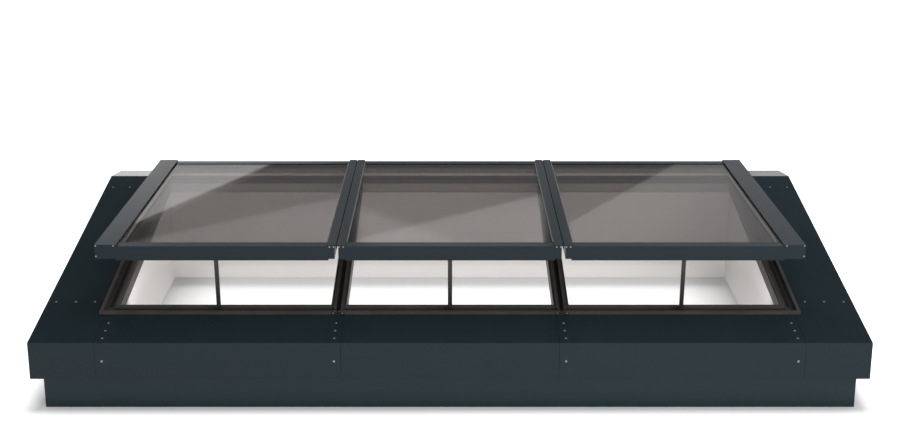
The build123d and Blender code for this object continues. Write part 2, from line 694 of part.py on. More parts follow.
for (sash_name, (x_left, x_right)), chain_x in zip(SASHES.items(), CHAIN_X):
    insets = {}
    for facing, x_edge in (("left", x_left), ("right", x_right)):
        cap, bite, skirt = sash_side(x_edge)
        inwards = 1 if facing == "left" else -1
        insets[facing] = (x_edge, inwards, cap, bite, skirt)
        with BuildPart() as stile:
            start_plane = section_plane(sash_plane(x_edge, END_CAP), facing)
            section = stile_section(cap, bite, skirt)
            along_sash(start_plane, section, END_CAP, SASH_LENGTH - END_CAP, facing)
        save(stile, f"sash_{sash_name}_stile_{facing}")

    with BuildPart() as end_caps:
        for facing, (x_edge, inwards, cap, bite, skirt) in insets.items():
            for start in (0, SASH_LENGTH - END_CAP):
                cap_plane = section_plane(sash_plane(x_edge, start), facing)
                along_sash(cap_plane, cap_section(cap, skirt), 0, END_CAP, facing)
    save(end_caps, f"sash_{sash_name}_end_caps")

    body_left = x_left + insets["left"][2] - CAP_LEDGE + PART_GAP
    body_right = x_right - insets["right"][2] + CAP_LEDGE - PART_GAP
    body_middle = (body_left + body_right) / 2
    body_half = (body_right - body_left) / 2
    with BuildPart() as front_rail:
        front_section = [
            (0, -RAIL_TOP),
            (0, -FACE_DEPTH),
            (LIP_STEP, -FACE_DEPTH),
            (LIP_STEP, -LIP_DEPTH),
            (DRIP_FRONT, -LIP_DEPTH),
            (DRIP_FRONT, -DRIP_DEPTH),
            (DRIP_BACK, -DRIP_DEPTH),
            (DRIP_BACK, -SASH_DEPTH),
            (FRONT_RAIL - END_CAP, -SASH_DEPTH),
            (FRONT_RAIL - END_CAP, -GLASS_BED),
            (GLASS_BITE, -GLASS_BED),
            (GLASS_BITE, -GLASS_CLIP),
            (FRONT_RAIL, -GLASS_CLIP),
            (FRONT_RAIL, -RAIL_TOP),
        ]
        face = outline(section_plane(sash_plane(body_middle, 0), "front"), front_section)
        extrude(face, body_half, both=True)
    save(front_rail, f"sash_{sash_name}_front_rail")

    with BuildPart() as back_rail:
        back_section = [
            (0, -RAIL_TOP),
            (0, -SASH_DEPTH),
            (BACK_RAIL, -SASH_DEPTH),
            (BACK_RAIL, -GLASS_BED),
            (BACK_COVER - GLASS_BITE, -GLASS_BED),
            (BACK_COVER - GLASS_BITE, -GLASS_CLIP),
            (BACK_COVER, -GLASS_CLIP),
            (BACK_COVER, -RAIL_TOP),
        ]
        back_base = sash_plane(body_middle, SASH_LENGTH - END_CAP)
        extrude(outline(section_plane(back_base, "back"), back_section), body_half, both=True)
        pocket = 2 * (KNUCKLE_WIDTH / 2 + CHEEK_PLAY + CHEEK)
        for x in hinge_places(x_left, x_right):
            with BuildSketch(sash_plane(x, HINGE_UP, -SASH_DEPTH)):
                Rectangle(pocket, 2 * HINGE_POCKET)
            extrude(amount=SASH_DEPTH - GLASS_BED, mode=Mode.SUBTRACT)
    save(back_rail, f"sash_{sash_name}_back_rail")

    with BuildPart() as hinges:
        for x in hinge_places(x_left, x_right):
            hinge_plane = sash_plane(x, HINGE_UP, -HINGE_DEPTH)
            for sign in (-1, 1):
                with Locations(hinge_plane.location):
                    with Locations((sign * (KNUCKLE_WIDTH / 2 + CHEEK_PLAY + CHEEK / 2), 0, 0)):
                        Box(
                            CHEEK,
                            2 * (HINGE_POCKET - CHEEK_SETBACK),
                            2 * (KNUCKLE_RADIUS - CHEEK_SETBACK),
                        )
            with BuildSketch(section_plane(hinge_plane, "front")):
                Circle(PIN_RADIUS)
            extrude(amount=KNUCKLE_WIDTH / 2 + CHEEK_PLAY + CHEEK / 2, both=True)
    save(hinges, f"sash_{sash_name}_hinges")

    glass_left = x_left + insets["left"][3] + PART_GAP
    glass_right = x_right - insets["right"][3] - PART_GAP
    glass_front = GLASS_BITE + PART_GAP
    glass_back = SASH_LENGTH - END_CAP - BACK_COVER + GLASS_BITE - PART_GAP
    glass_middle = (glass_left + glass_right) / 2
    glass_centre_up = (glass_front + glass_back) / 2
    glass_width = glass_right - glass_left
    glass_length = glass_back - glass_front
    with BuildPart() as glass:
        for top in (GLASS_TOP, GLASS_TOP + GLASS_UNIT - PANE):
            with BuildSketch(sash_plane(glass_middle, glass_centre_up, -top)):
                Rectangle(glass_width, glass_length)
            extrude(amount=-PANE)
        cavity_top = -GLASS_TOP - PANE - SPACER_PLAY
        with BuildSketch(sash_plane(glass_middle, glass_centre_up, cavity_top)):
            Rectangle(glass_width - 2 * SPACER_INSET, glass_length - 2 * SPACER_INSET)
            Rectangle(glass_width - 2 * SPACER, glass_length - 2 * SPACER, mode=Mode.SUBTRACT)
        extrude(amount=-(GLASS_UNIT - 2 * PANE - 2 * SPACER_PLAY))
    save(glass, f"sash_{sash_name}_glass")

    with BuildPart() as gasket:
        ring_left = x_left + gasket_place(insets["left"][2], insets["left"][4])
        ring_right = x_right - gasket_place(insets["right"][2], insets["right"][4])
        ring_front = FRONT_RAIL - END_CAP - GASKET_INSET - GASKET_WIDTH
        ring_back = SASH_LENGTH - END_CAP - BACK_RAIL + GASKET_INSET + GASKET_WIDTH
        ring_centre = ((ring_left + ring_right) / 2, (ring_front + ring_back) / 2)
        with BuildSketch(sash_plane(0, 0, -SASH_DEPTH)):
            with Locations(ring_centre):
                Rectangle(ring_right - ring_left, ring_back - ring_front)
                Rectangle(
                    ring_right - ring_left - 2 * GASKET_WIDTH,
                    ring_back - ring_front - 2 * GASKET_WIDTH,
                    mode=Mode.SUBTRACT,
                )
        extrude(amount=-GASKET_HEIGHT, taper=GASKET_TAPER)
    save(gasket, f"sash_{sash_name}_gasket")

    with BuildPart() as fork:
        fork_middle = FORK_FRONT + FORK_LENGTH / 2
        cheek_x = CHAIN_WIDTH / 2 + CHAIN_PLAY + FORK_CHEEK / 2
        with BuildSketch(sash_plane(chain_x, fork_middle, -SASH_DEPTH)):
            Rectangle(2 * cheek_x + FORK_CHEEK, FORK_LENGTH)
        extrude(amount=-FORK_CHEEK)
        with BuildSketch(sash_plane(chain_x, fork_middle, -SASH_DEPTH)):
            with Locations((-cheek_x, 0), (cheek_x, 0)):
                Rectangle(FORK_CHEEK, FORK_LENGTH)
        extrude(amount=SASH_DEPTH - FORK_DEPTH)
        slot_plane = section_plane(
            sash_plane(chain_x, PIVOT_UP + FORK_SLOT_SHIFT, -PIVOT_DEPTH), "front"
        )
        with BuildSketch(slot_plane):
            SlotOverall(
                2 * FORK_PIN_RADIUS + FORK_SLOT_TRAVEL, 2 * FORK_PIN_RADIUS + FORK_SLOT_PLAY
            )
        extrude(amount=2 * cheek_x, both=True, mode=Mode.SUBTRACT)
    save(fork, f"sash_{sash_name}_fork")
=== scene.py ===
"""Roof skylight with three opening sashes: finishes, seals, screws and small fittings."""

import logging
import math
from dataclasses import dataclass
from enum import Enum
from typing import Any, Optional, Sequence, Union

import bmesh
import bpy
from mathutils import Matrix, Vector


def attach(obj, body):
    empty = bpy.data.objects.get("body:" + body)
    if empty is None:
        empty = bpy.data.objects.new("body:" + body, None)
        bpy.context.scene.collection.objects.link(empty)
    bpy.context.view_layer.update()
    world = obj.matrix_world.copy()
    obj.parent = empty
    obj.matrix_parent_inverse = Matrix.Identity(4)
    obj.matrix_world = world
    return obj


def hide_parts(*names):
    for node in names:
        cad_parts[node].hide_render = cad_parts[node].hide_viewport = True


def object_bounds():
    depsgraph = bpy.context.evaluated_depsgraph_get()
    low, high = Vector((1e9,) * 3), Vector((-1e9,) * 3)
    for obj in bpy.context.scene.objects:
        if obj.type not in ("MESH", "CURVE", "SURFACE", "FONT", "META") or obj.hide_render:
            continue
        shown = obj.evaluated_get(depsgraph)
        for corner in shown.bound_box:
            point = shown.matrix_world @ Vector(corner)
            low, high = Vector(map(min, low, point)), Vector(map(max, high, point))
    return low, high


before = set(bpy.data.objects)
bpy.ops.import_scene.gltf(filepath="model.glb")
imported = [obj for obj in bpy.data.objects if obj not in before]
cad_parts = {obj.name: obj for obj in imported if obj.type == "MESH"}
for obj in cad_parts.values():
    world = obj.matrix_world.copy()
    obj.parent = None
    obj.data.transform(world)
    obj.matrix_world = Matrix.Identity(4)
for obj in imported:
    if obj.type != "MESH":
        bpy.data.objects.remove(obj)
CAD_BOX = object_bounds()

log = logging.getLogger("skylight")

Number = Union[int, float]
Node = bpy.types.Node
Socket = bpy.types.NodeSocket
Material = bpy.types.Material
Piece = bpy.types.Object
Mesh = bmesh.types.BMesh
Colour = tuple[float, float, float]
Place = tuple[float, float, float]
Span = tuple[float, float]
Ring = list[bmesh.types.BMVert]

MM = 0.001


def rgb(red: Number, green: Number, blue: Number) -> Colour:
    """A screen colour, each part from 0 to 255, as the linear colour that a shader takes."""
    parts = [part / 255 for part in (red, green, blue)]
    linear = [part / 12.92 if part <= 0.04045 else ((part + 0.055) / 1.055) ** 2.4 for part in parts]
    return (linear[0], linear[1], linear[2])


def shade(colour: Colour, factor: float) -> Colour:
    """A colour made lighter or darker by a factor."""
    return (colour[0] * factor, colour[1] * factor, colour[2] * factor)


@dataclass(frozen=True)
class Noise:
    """Clouds to a metre, how many finer layers they have, how strong those are, and any stretch."""

    scale: float
    detail: float
    roughness: float
    stretch: Optional[Place] = None


@dataclass(frozen=True)
class Tint:
    """From which level of a noise to which it changes a colour, how strongly, and by what factor."""

    low: float
    high: float
    share: float = 1.0
    factor: float = 1.0


@dataclass(frozen=True)
class Relief:
    """How deep a fine relief is, in metres, and how much of it shows."""

    depth: float
    strength: float


class Amount:
    """A number socket of a shader, used in ordinary arithmetic."""

    def __init__(self, shader: "Shader", socket: Socket) -> None:
        """Keeps the socket and the shader that it belongs to."""
        self.shader = shader
        self.socket = socket

    def join(self, operation: str, first: Any, second: Any) -> "Amount":
        """Adds one Math node.

        Args:
            operation: the Math node's operation.
            first: the upper value or socket.
            second: the lower value or socket.

        Returns:
            The node's result.
        """
        node = self.shader.node("ShaderNodeMath", {"operation": operation}, {0: first, 1: second})
        return Amount(self.shader, node.outputs[0])

    def __add__(self, other: Any) -> "Amount":
        """self + other."""
        return self.join("ADD", self, other)

    def __sub__(self, other: Any) -> "Amount":
        """self - other."""
        return self.join("SUBTRACT", self, other)

    def __rsub__(self, other: Any) -> "Amount":
        """other - self."""
        return self.join("SUBTRACT", other, self)

    def __mul__(self, other: Any) -> "Amount":
        """self * other."""
        return self.join("MULTIPLY", self, other)

    def __pow__(self, other: Any) -> "Amount":
        """self to a power."""
        return self.join("POWER", self, other)

    __radd__ = __add__
    __rmul__ = __mul__

    def larger(self, other: Any) -> "Amount":
        """The larger of two amounts."""
        return self.join("MAXIMUM", self, other)

    def size(self) -> "Amount":
        """The amount without its sign."""
        return self.join("ABSOLUTE", self, 0.0)

    def wave(self) -> "Amount":
        """The sine of the amount."""
        return self.join("SINE", self, 0.0)

    def swing(self, reach: float) -> "Amount":
        """An amount between 0 and 1 as a swing about 0, half the reach to each side."""
        return (self - 0.5) * reach

    def blend(self, other: "Amount", share: float) -> "Amount":
        """A blend with another amount, of which there is the given share."""
        return self * (1.0 - share) + other * share

    def step(self, low: float, high: float) -> "Amount":
        """A soft step from 0 at low to 1 at high, or the other way round where low is the larger.

        Args:
            low: the amount at which the step starts.
            high: the amount at which it ends.

        Returns:
            The height of the step.
        """
        rising = low < high
        node = self.shader.node(
            "ShaderNodeMapRange",
            {"interpolation_type": "SMOOTHSTEP"},
            {
                "Value": self,
                "From Min": min(low, high),
                "From Max": max(low, high),
                "To Min": 0.0 if rising else 1.0,
                "To Max": 1.0 if rising else 0.0,
            },
        )
        return Amount(self.shader, node.outputs["Result"])


class Tree:
    """The nodes of one tree, built from the calls below."""

    def __init__(self, tree: bpy.types.NodeTree) -> None:
        """Clears the tree and keeps it."""
        self.tree = tree
        tree.nodes.clear()

    def node(
        self,
        kind: str,
        settings: Optional[dict[str, Any]] = None,
        inputs: Optional[dict[Union[str, int], Any]] = None,
    ) -> Node:
        """Adds a node.

        Args:
            kind: the node's type name.
            settings: its properties, set before its sockets.
            inputs: a value, a socket or an Amount for each named or numbered input.

        Returns:
            The new node.
        """
        made = self.tree.nodes.new(kind)
        for name, setting in (settings or {}).items():
            setattr(made, name, setting)
        for name, given in (inputs or {}).items():
            source = given.socket if isinstance(given, Amount) else given
            if isinstance(source, Socket):
                self.tree.links.new(source, made.inputs[name])
            else:
                made.inputs[name].default_value = source
        return made


class Shader(Tree):
    """The nodes of one material or world."""

    def place(self) -> Socket:
        """The point on the piece, in metres, in the frame that every piece shares."""
        return self.node("ShaderNodeTexCoord").outputs["Object"]

    def stretched(self, scale: Sequence[float]) -> Socket:
        """The point on the piece, stretched by a factor along each axis."""
        mapped = self.node("ShaderNodeMapping", None, {"Vector": self.place(), "Scale": tuple(scale)})
        return mapped.outputs["Vector"]

    def axis(self, letter: str) -> Amount:
        """The X, Y or Z of the point on the piece."""
        split = self.node("ShaderNodeSeparateXYZ", None, {0: self.place()})
        return Amount(self, split.outputs[letter])

    def noise(self, noise: Noise) -> Amount:
        """Cloudy variation between 0 and 1.

        Args:
            noise: its clouds.

        Returns:
            The variation.
        """
        point = self.stretched(noise.stretch) if noise.stretch else self.place()
        inputs = {"Vector": point, "Scale": noise.scale, "Detail": noise.detail, "Roughness": noise.roughness}
        return Amount(self, self.node("ShaderNodeTexNoise", None, inputs).outputs["Fac"])

    def mixed(self, share: Any, first: Any, second: Any) -> Socket:
        """A blend of two colours.

        Args:
            share: how much of the second colour there is.
            first: a colour or a colour socket.
            second: a colour or a colour socket.

        Returns:
            The blended colour.
        """
        colours = [(*c, 1.0) if isinstance(c, tuple) else c for c in (first, second)]
        made = self.node("ShaderNodeMix", {"data_type": "RGBA"}, {0: share, 6: colours[0], 7: colours[1]})
        return made.outputs[2]

    def tinted(self, tint: Tint, noise: Amount, base: Any, colour: Colour) -> Socket:
        """A colour that another one takes the place of where a noise is high.

        Args:
            tint: where and how much.
            noise: the noise.
            base: the colour that is there without it.
            colour: the other colour, before the tint's factor.

        Returns:
            The tinted colour.
        """
        share = noise.step(tint.low, tint.high) * tint.share
        return self.mixed(share, base, shade(colour, tint.factor))

    def relief(self, relief: Relief, height: Amount) -> Socket:
        """The surface's direction with a relief in it.

        Args:
            relief: the relief.
            height: its height at each point, between 0 and 1.

        Returns:
            The changed direction.
        """
        inputs = {"Strength": relief.strength, "Distance": relief.depth, "Height": height}
        return self.node("ShaderNodeBump", None, inputs).outputs["Normal"]

    def surface(
        self, colour: Socket, roughness: Amount, relief: Optional[Socket], others: dict[str, Any]
    ) -> Node:
        """A Principled surface.

        Args:
            colour: its base colour.
            roughness: its roughness.
            relief: its direction with a relief in it, or None for a smooth one.
            others: its other inputs.

        Returns:
            The surface's node.
        """
        inputs = {"Base Color": colour, "Roughness": roughness, **others}
        if relief:
            inputs["Normal"] = relief
        return self.node("ShaderNodeBsdfPrincipled", None, inputs)

    def output(self, kind: str, socket: Socket) -> None:
        """Joins the last shader to the tree's output."""
        self.node(kind, None, {"Surface": socket})


def new_material(name: str) -> tuple[Material, Shader]:
    """Starts a material.

    Args:
        name: the material's name.

    Returns:
        The material and its empty shader.
    """
    material = bpy.data.materials.new(name)
    material.use_nodes = True
    return material, Shader(material.node_tree)


@dataclass(frozen=True)
class Coating:
    """What every finish has: a name, a main colour and the nodes that make its surface."""

    name: str
    colour: Colour

    def surface(self, shader: Shader) -> Node:
        """Builds the nodes of the finish.

        Args:
            shader: the empty shader of its material.

        Returns:
            The last of its nodes.
        """
        raise NotImplementedError

    def build(self) -> Material:
        """Makes the material.

        Returns:
            The material.
        """
        material, shader = new_material(self.name)
        shader.output("ShaderNodeOutputMaterial", self.surface(shader).outputs[0])
        return material


@dataclass(frozen=True)
class PowderCoat(Coating):
    """Satin powder coat on folded or extruded aluminium, with fine orange peel and a trace of dust."""

    roughness: float
    specular: float
    dust: float = 0.04
    dust_colour: Colour = rgb(150, 146, 138)
    dust_share: float = 0.18
    clouds: Noise = Noise(2.3, 4.0, 0.55)
    runs: Noise = Noise(5.0, 5.0, 0.6, (1.0, 0.25, 1.6))
    run_share: float = 0.4
    film_span: Span = (0.42, 0.72)
    film_swing: float = 0.07
    grain: Noise = Noise(900.0, 2.0, 0.5)
    grain_swing: float = 0.05
    specks: Tint = Tint(0.35, 0.75, 0.18, 1.35)
    relief: Relief = Relief(0.00008, 0.6)

    def surface(self, shader: Shader) -> Node:
        """An even colour with a fine grain, and dust over it in soft runs."""
        film = shader.noise(self.clouds).blend(shader.noise(self.runs), self.run_share).step(*self.film_span)
        grain = shader.noise(self.grain)
        dusty = shader.mixed(self.dust_share, self.colour, self.dust_colour)
        base = shader.mixed(film * self.dust, self.colour, dusty)
        speckled = shader.tinted(self.specks, grain, base, self.colour)
        rough = self.roughness + film.swing(self.film_swing) + grain.swing(self.grain_swing)
        relief = shader.relief(self.relief, grain)
        return shader.surface(speckled, rough, relief, {"Specular IOR Level": self.specular})


@dataclass(frozen=True)
class PultrudedProfile(Coating):
    """Black-brown reinforced profile, drawn along its length, with fine lengthwise lines."""

    roughness: float
    specular: float
    along: Noise = Noise(600.0, 3.0, 0.6, (1.0, 0.02, 1.0))
    across: Noise = Noise(600.0, 3.0, 0.6, (0.02, 1.0, 1.0))
    across_share: float = 0.5
    clouds: Noise = Noise(7.0, 4.0, 0.6)
    pale: Tint = Tint(0.35, 0.7, 0.5, 1.5)
    dark: Tint = Tint(0.4, 0.65, 0.35, 0.7)
    swing: float = 0.16
    relief: Relief = Relief(0.00006, 0.5)

    def surface(self, shader: Shader) -> Node:
        """Fine lines both ways over a colour that is a little cloudy."""
        lines = shader.noise(self.along).blend(shader.noise(self.across), self.across_share)
        cloudy = shader.tinted(self.pale, shader.noise(self.clouds), self.colour, self.colour)
        lined = shader.tinted(self.dark, lines, cloudy, self.colour)
        rough = self.roughness + lines.swing(self.swing)
        relief = shader.relief(self.relief, lines)
        return shader.surface(lined, rough, relief, {"Specular IOR Level": self.specular})


@dataclass(frozen=True)
class MattCoat(Coating):
    """A matt surface whose colour is a little cloudy, with a fine grain in it.

    The roughness swings with the grain, or with the clouds where cloudy_gloss is set.
    """

    roughness: float
    grain: Noise
    clouds: Noise
    tint: Tint
    swing: float
    relief: Relief
    specular: float = 0.5
    cloudy_gloss: bool = False

    def surface(self, shader: Shader) -> Node:
        """Clouds in the colour over a fine relief."""
        grain = shader.noise(self.grain)
        clouds = shader.noise(self.clouds)
        base = shader.tinted(self.tint, clouds, self.colour, self.colour)
        rough = self.roughness + (clouds if self.cloudy_gloss else grain).swing(self.swing)
        relief = shader.relief(self.relief, grain)
        return shader.surface(base, rough, relief, {"Specular IOR Level": self.specular})


@dataclass(frozen=True)
class Lacquer(MattCoat):
    """Pale matt lacquer on board, rolled on, with a faint roller texture."""

    roughness: float = 0.55
    grain: Noise = Noise(420.0, 3.0, 0.6)
    clouds: Noise = Noise(3.0, 3.0, 0.5)
    tint: Tint = Tint(0.3, 0.75, 0.35, 0.94)
    swing: float = 0.12
    relief: Relief = Relief(0.00007, 0.5)
    specular: float = 0.35


@dataclass(frozen=True)
class Rubber(MattCoat):
    """Extruded black rubber, matt, with a pale bloom on it."""

    roughness: float = 0.72
    grain: Noise = Noise(1400.0, 2.0, 0.5)
    clouds: Noise = Noise(45.0, 4.0, 0.6)
    tint: Tint = Tint(0.45, 0.8, 0.5, 1.9)
    swing: float = 0.2
    relief: Relief = Relief(0.00005, 0.5)
    specular: float = 0.3
    cloudy_gloss: bool = True


@dataclass(frozen=True)
class FoamBoard(MattCoat):
    """Rigid insulation board with its cell texture."""

    roughness: float = 0.85
    grain: Noise = Noise(700.0, 4.0, 0.7)
    clouds: Noise = Noise(6.0, 3.0, 0.5)
    tint: Tint = Tint(0.3, 0.7, 0.4, 0.85)
    swing: float = 0.15
    relief: Relief = Relief(0.0004, 0.7)


@dataclass(frozen=True)
class Plate(Coating):
    """A metal surface, bright, plated or blackened, with drawn lines and stains."""

    roughness: float
    stain: Colour
    metallic: float = 1.0
    lines: Noise = Noise(1500.0, 3.0, 0.6, (1.0, 0.05, 1.0))
    line_swing: float = 0.1
    stains: Noise = Noise(38.0, 5.0, 0.65)
    stain_swing: float = 0.25
    stained: Tint = Tint(0.5, 0.78, 0.55)
    relief: Relief = Relief(0.00003, 0.4)

    def surface(self, shader: Shader) -> Node:
        """Stains in clouds over fine drawn lines."""
        lines = shader.noise(self.lines)
        stains = shader.noise(self.stains)
        base = shader.tinted(self.stained, stains, self.colour, self.stain)
        rough = self.roughness + stains.swing(self.stain_swing) + lines.swing(self.line_swing)
        return shader.surface(base, rough, shader.relief(self.relief, lines), {"Metallic": self.metallic})


@dataclass(frozen=True)
class SoftwoodBeam(Coating):
    """Planed laminated softwood with its grain along the beam and glue lines across."""

    dark: Colour
    roughness: float = 0.62
    lamella_height: float = 0.0167
    grain: Noise = Noise(60.0, 6.0, 0.62, (0.06, 0.06, 1.6))
    grained: Tint = Tint(0.35, 0.68)
    glue: Tint = Tint(0.975, 1.0, 0.5, 0.6)
    fibres: Noise = Noise(900.0, 3.0, 0.6, (0.05, 0.05, 1.0))
    fibre_swing: float = 0.2
    relief: Relief = Relief(0.0001, 0.5)

    def surface(self, shader: Shader) -> Node:
        """Grain and fibres along the beam, with a thin dark line where two lamellas meet."""
        fibres = shader.noise(self.fibres)
        lamella = (shader.axis("Z") * (math.tau / self.lamella_height)).wave()
        base = shader.tinted(self.grained, shader.noise(self.grain), self.colour, self.dark)
        glued = shader.tinted(self.glue, lamella, base, self.dark)
        rough = self.roughness + fibres.swing(self.fibre_swing)
        return shader.surface(glued, rough, shader.relief(self.relief, fibres), {})


@dataclass(frozen=True)
class SolarGlass(Coating):
    """Neutral solar control glass: it lets a part of the light through and mirrors the rest."""

    shadow: Colour
    ior: float = 1.2
    film: Noise = Noise(3.5, 4.0, 0.6, (1.0, 0.4, 1.0))
    dull: Tint = Tint(0.35, 0.75, 0.25, 0.94)
    haze_span: Span = (0.5, 0.9)
    haze: float = 0.004

    def surface(self, shader: Shader) -> Node:
        """Clear glass with a faintly uneven film, which throws no dark shadow."""
        film = shader.noise(self.film)
        base = shader.tinted(self.dull, film, self.colour, self.colour)
        rough = film.step(*self.haze_span) * self.haze
        pane = shader.surface(base, rough, None, {"IOR": self.ior, "Transmission Weight": 1.0})
        clear = shader.node("ShaderNodeBsdfTransparent", None, {"Color": (*self.shadow, 1.0)})
        for_shadow = shader.node("ShaderNodeLightPath").outputs["Is Shadow Ray"]
        inputs = {0: for_shadow, 1: pane.outputs[0], 2: clear.outputs[0]}
        return shader.node("ShaderNodeMixShader", None, inputs)


class Finish(Enum):
    """Every finish on the skylight."""

    TIMBER = SoftwoodBeam("sole_softwood", rgb(205, 176, 132), rgb(168, 128, 84))
    INSULATION = FoamBoard("core_black_underlay", rgb(26, 26, 27))
    PLINTH = PowderCoat("plinth_powder_coat", rgb(30, 42, 47), 0.3, 0.13)
    CLADDING = PowderCoat("cladding_powder_coat", rgb(27, 38, 43), 0.24, 0.12)
    SASH = PowderCoat("sash_powder_coat", rgb(26, 37, 43), 0.2, 0.12, dust=0.03, relief=Relief(0.00005, 0.6))
    LINING = Lacquer("lining_lacquer", rgb(228, 225, 224))
    SASH_LINING = Lacquer("sash_lining_white", rgb(226, 222, 216), 0.45)
    LINER = Lacquer("back_member_liner", rgb(172, 168, 163), 0.45)
    FRAME = PultrudedProfile("frame_profile", rgb(62, 59, 58), 0.46, 0.16)
    RUBBER = Rubber("seal_rubber", rgb(38, 37, 36))
    DRIVE = PowderCoat("drive_housing_black", rgb(30, 30, 32), 0.45, 0.4)
    CHAIN = Plate("chain_black_steel", rgb(46, 44, 42), 0.42, rgb(30, 28, 27), metallic=0.5)
    FITTING = Plate("fitting_zinc", rgb(176, 177, 180), 0.34, rgb(128, 126, 124))
    SCREW = Plate("screw_stainless", rgb(150, 152, 154), 0.3, rgb(130, 128, 126), metallic=0.4)
    GLASS = SolarGlass("solar_glass", rgb(205, 201, 200), rgb(244, 243, 242))
    BEAD = Plate("glazing_bead_satin", rgb(140, 139, 134), 0.5, rgb(112, 110, 106), metallic=0.5)
    GASKET = Rubber("glazing_gasket", rgb(18, 18, 19), 0.6)


class Finishes:
    """Makes each finish once, when a piece first asks for it."""

    def __init__(self) -> None:
        """Starts with no finish made."""
        self.made: dict[Finish, Material] = {}

    def get(self, finish: Finish) -> Material:
        """The material of a finish.

        Args:
            finish: the finish that is wanted.

        Returns:
            Its material.
        """
        if finish not in self.made:
            self.made[finish] = finish.value.build()
        return self.made[finish]

    def dress(self, piece: Piece, finish: Finish) -> None:
        """Gives a whole piece one finish.

        Args:
            piece: the piece.
            finish: its finish.
        """
        piece.data.materials.clear()
        piece.data.materials.append(self.get(finish))


@dataclass(frozen=True)
class Slope:
    """A tilted plane that runs up from a level line; the roof of the kerb or the top of the sashes."""

    start_y: float
    start_z: float
    angle_deg: float

    def axes(self) -> tuple[Vector, Vector]:
        """The direction up the slope and the one square to it."""
        angle = math.radians(self.angle_deg)
        along = Vector((0.0, math.cos(angle), math.sin(angle)))
        return along, Vector((0.0, -along.z, along.y))

    def point(self, x: float, up: float, height: float) -> Vector:
        """A place on the slope.

        Args:
            x: how far across, in mm.
            up: how far up the slope, in mm.
            height: how far above it, in mm.

        Returns:
            The place, in metres.
        """
        along, square = self.axes()
        return Vector((x * MM, self.start_y * MM, self.start_z * MM)) + along * up * MM + square * height * MM


ROOF = Slope(start_y=-997.0, start_z=319.0, angle_deg=9.0)
SASH_TOP = Slope(start_y=-752.0, start_z=685.0, angle_deg=-0.5)


def placed(name: str, data: Any) -> Piece:
    """Puts a mesh, a lamp or a camera in the scene as an object of its own.

    Args:
        name: the object's name.
        data: what the object shows.

    Returns:
        The object.
    """
    made = bpy.data.objects.new(name, data)
    bpy.context.scene.collection.objects.link(made)
    return made


def meshed(name: str, mesh: Mesh) -> Piece:
    """Makes an object of a mesh that is finished, and frees the mesh.

    Args:
        name: the object's name.
        mesh: the mesh.

    Returns:
        The object.
    """
    data = bpy.data.meshes.new(name)
    mesh.to_mesh(data)
    mesh.free()
    return placed(name, data)


def skin(mesh: Mesh, rings: Sequence[Ring]) -> None:
    """Closes a solid round a row of rings of points.

    Args:
        mesh: the mesh that the points are in.
        rings: the rings, each with its points in turn.
    """
    for lower, upper in zip(rings, rings[1:]):
        for index, point in enumerate(lower):
            other = (index + 1) % len(lower)
            mesh.faces.new([point, lower[other], upper[other], upper[index]])
    mesh.faces.new(list(reversed(rings[0])))
    mesh.faces.new(rings[-1])


class Solids:
    """Collects closed solids for one piece and makes its object."""

    def __init__(self) -> None:
        """Starts with nothing."""
        self.mesh = bmesh.new()

    def corners(self, slope: Slope, edges: Sequence[float], heights: Sequence[float]) -> list[Ring]:
        """The corners of a rectangle in a slope, at its bottom and at its top.

        Args:
            slope: the slope.
            edges: its left, right, lower and upper edge, in mm.
            heights: its bottom and top, in mm.

        Returns:
            The four lower corners and the four upper ones.
        """
        left, right, low, high = edges
        places = ((left, low), (right, low), (right, high), (left, high))
        return [[self.mesh.verts.new(slope.point(x, up, z)) for x, up in places] for z in sorted(heights)]

    def block(
        self, slope: Slope, across: Sequence[float], ups: Sequence[float], heights: Sequence[float]
    ) -> None:
        """Adds a straight strip that lies along a slope.

        Args:
            slope: the slope.
            across: its two sides, in mm.
            ups: its lower and upper end, in mm.
            heights: its bottom and top, in mm.
        """
        skin(self.mesh, self.corners(slope, (*sorted(across), *sorted(ups)), heights))

    def ring(
        self, slope: Slope, outer: Sequence[float], inner: Sequence[float], heights: Sequence[float]
    ) -> None:
        """Adds a closed ring with mitred corners that lies in a slope.

        Args:
            slope: the slope.
            outer: its outer left, right, lower and upper edge, in mm.
            inner: the same four edges of the opening, in mm.
            heights: its bottom and top, in mm.
        """
        outer_low, outer_high = self.corners(slope, outer, heights)
        inner_low, inner_high = self.corners(slope, inner, heights)
        sides = (
            (outer_low, outer_high),
            (inner_high, inner_low),
            (outer_high, inner_high),
            (inner_low, outer_low),
        )
        for index in range(4):
            other = (index + 1) % 4
            for first, second in sides:
                self.mesh.faces.new([first[index], first[other], second[other], second[index]])

    def make(self, name: str) -> Piece:
        """Finishes the piece.

        Args:
            name: its name.

        Returns:
            The piece.
        """
        bmesh.ops.recalc_face_normals(self.mesh, faces=self.mesh.faces)
        return meshed(name, self.mesh)


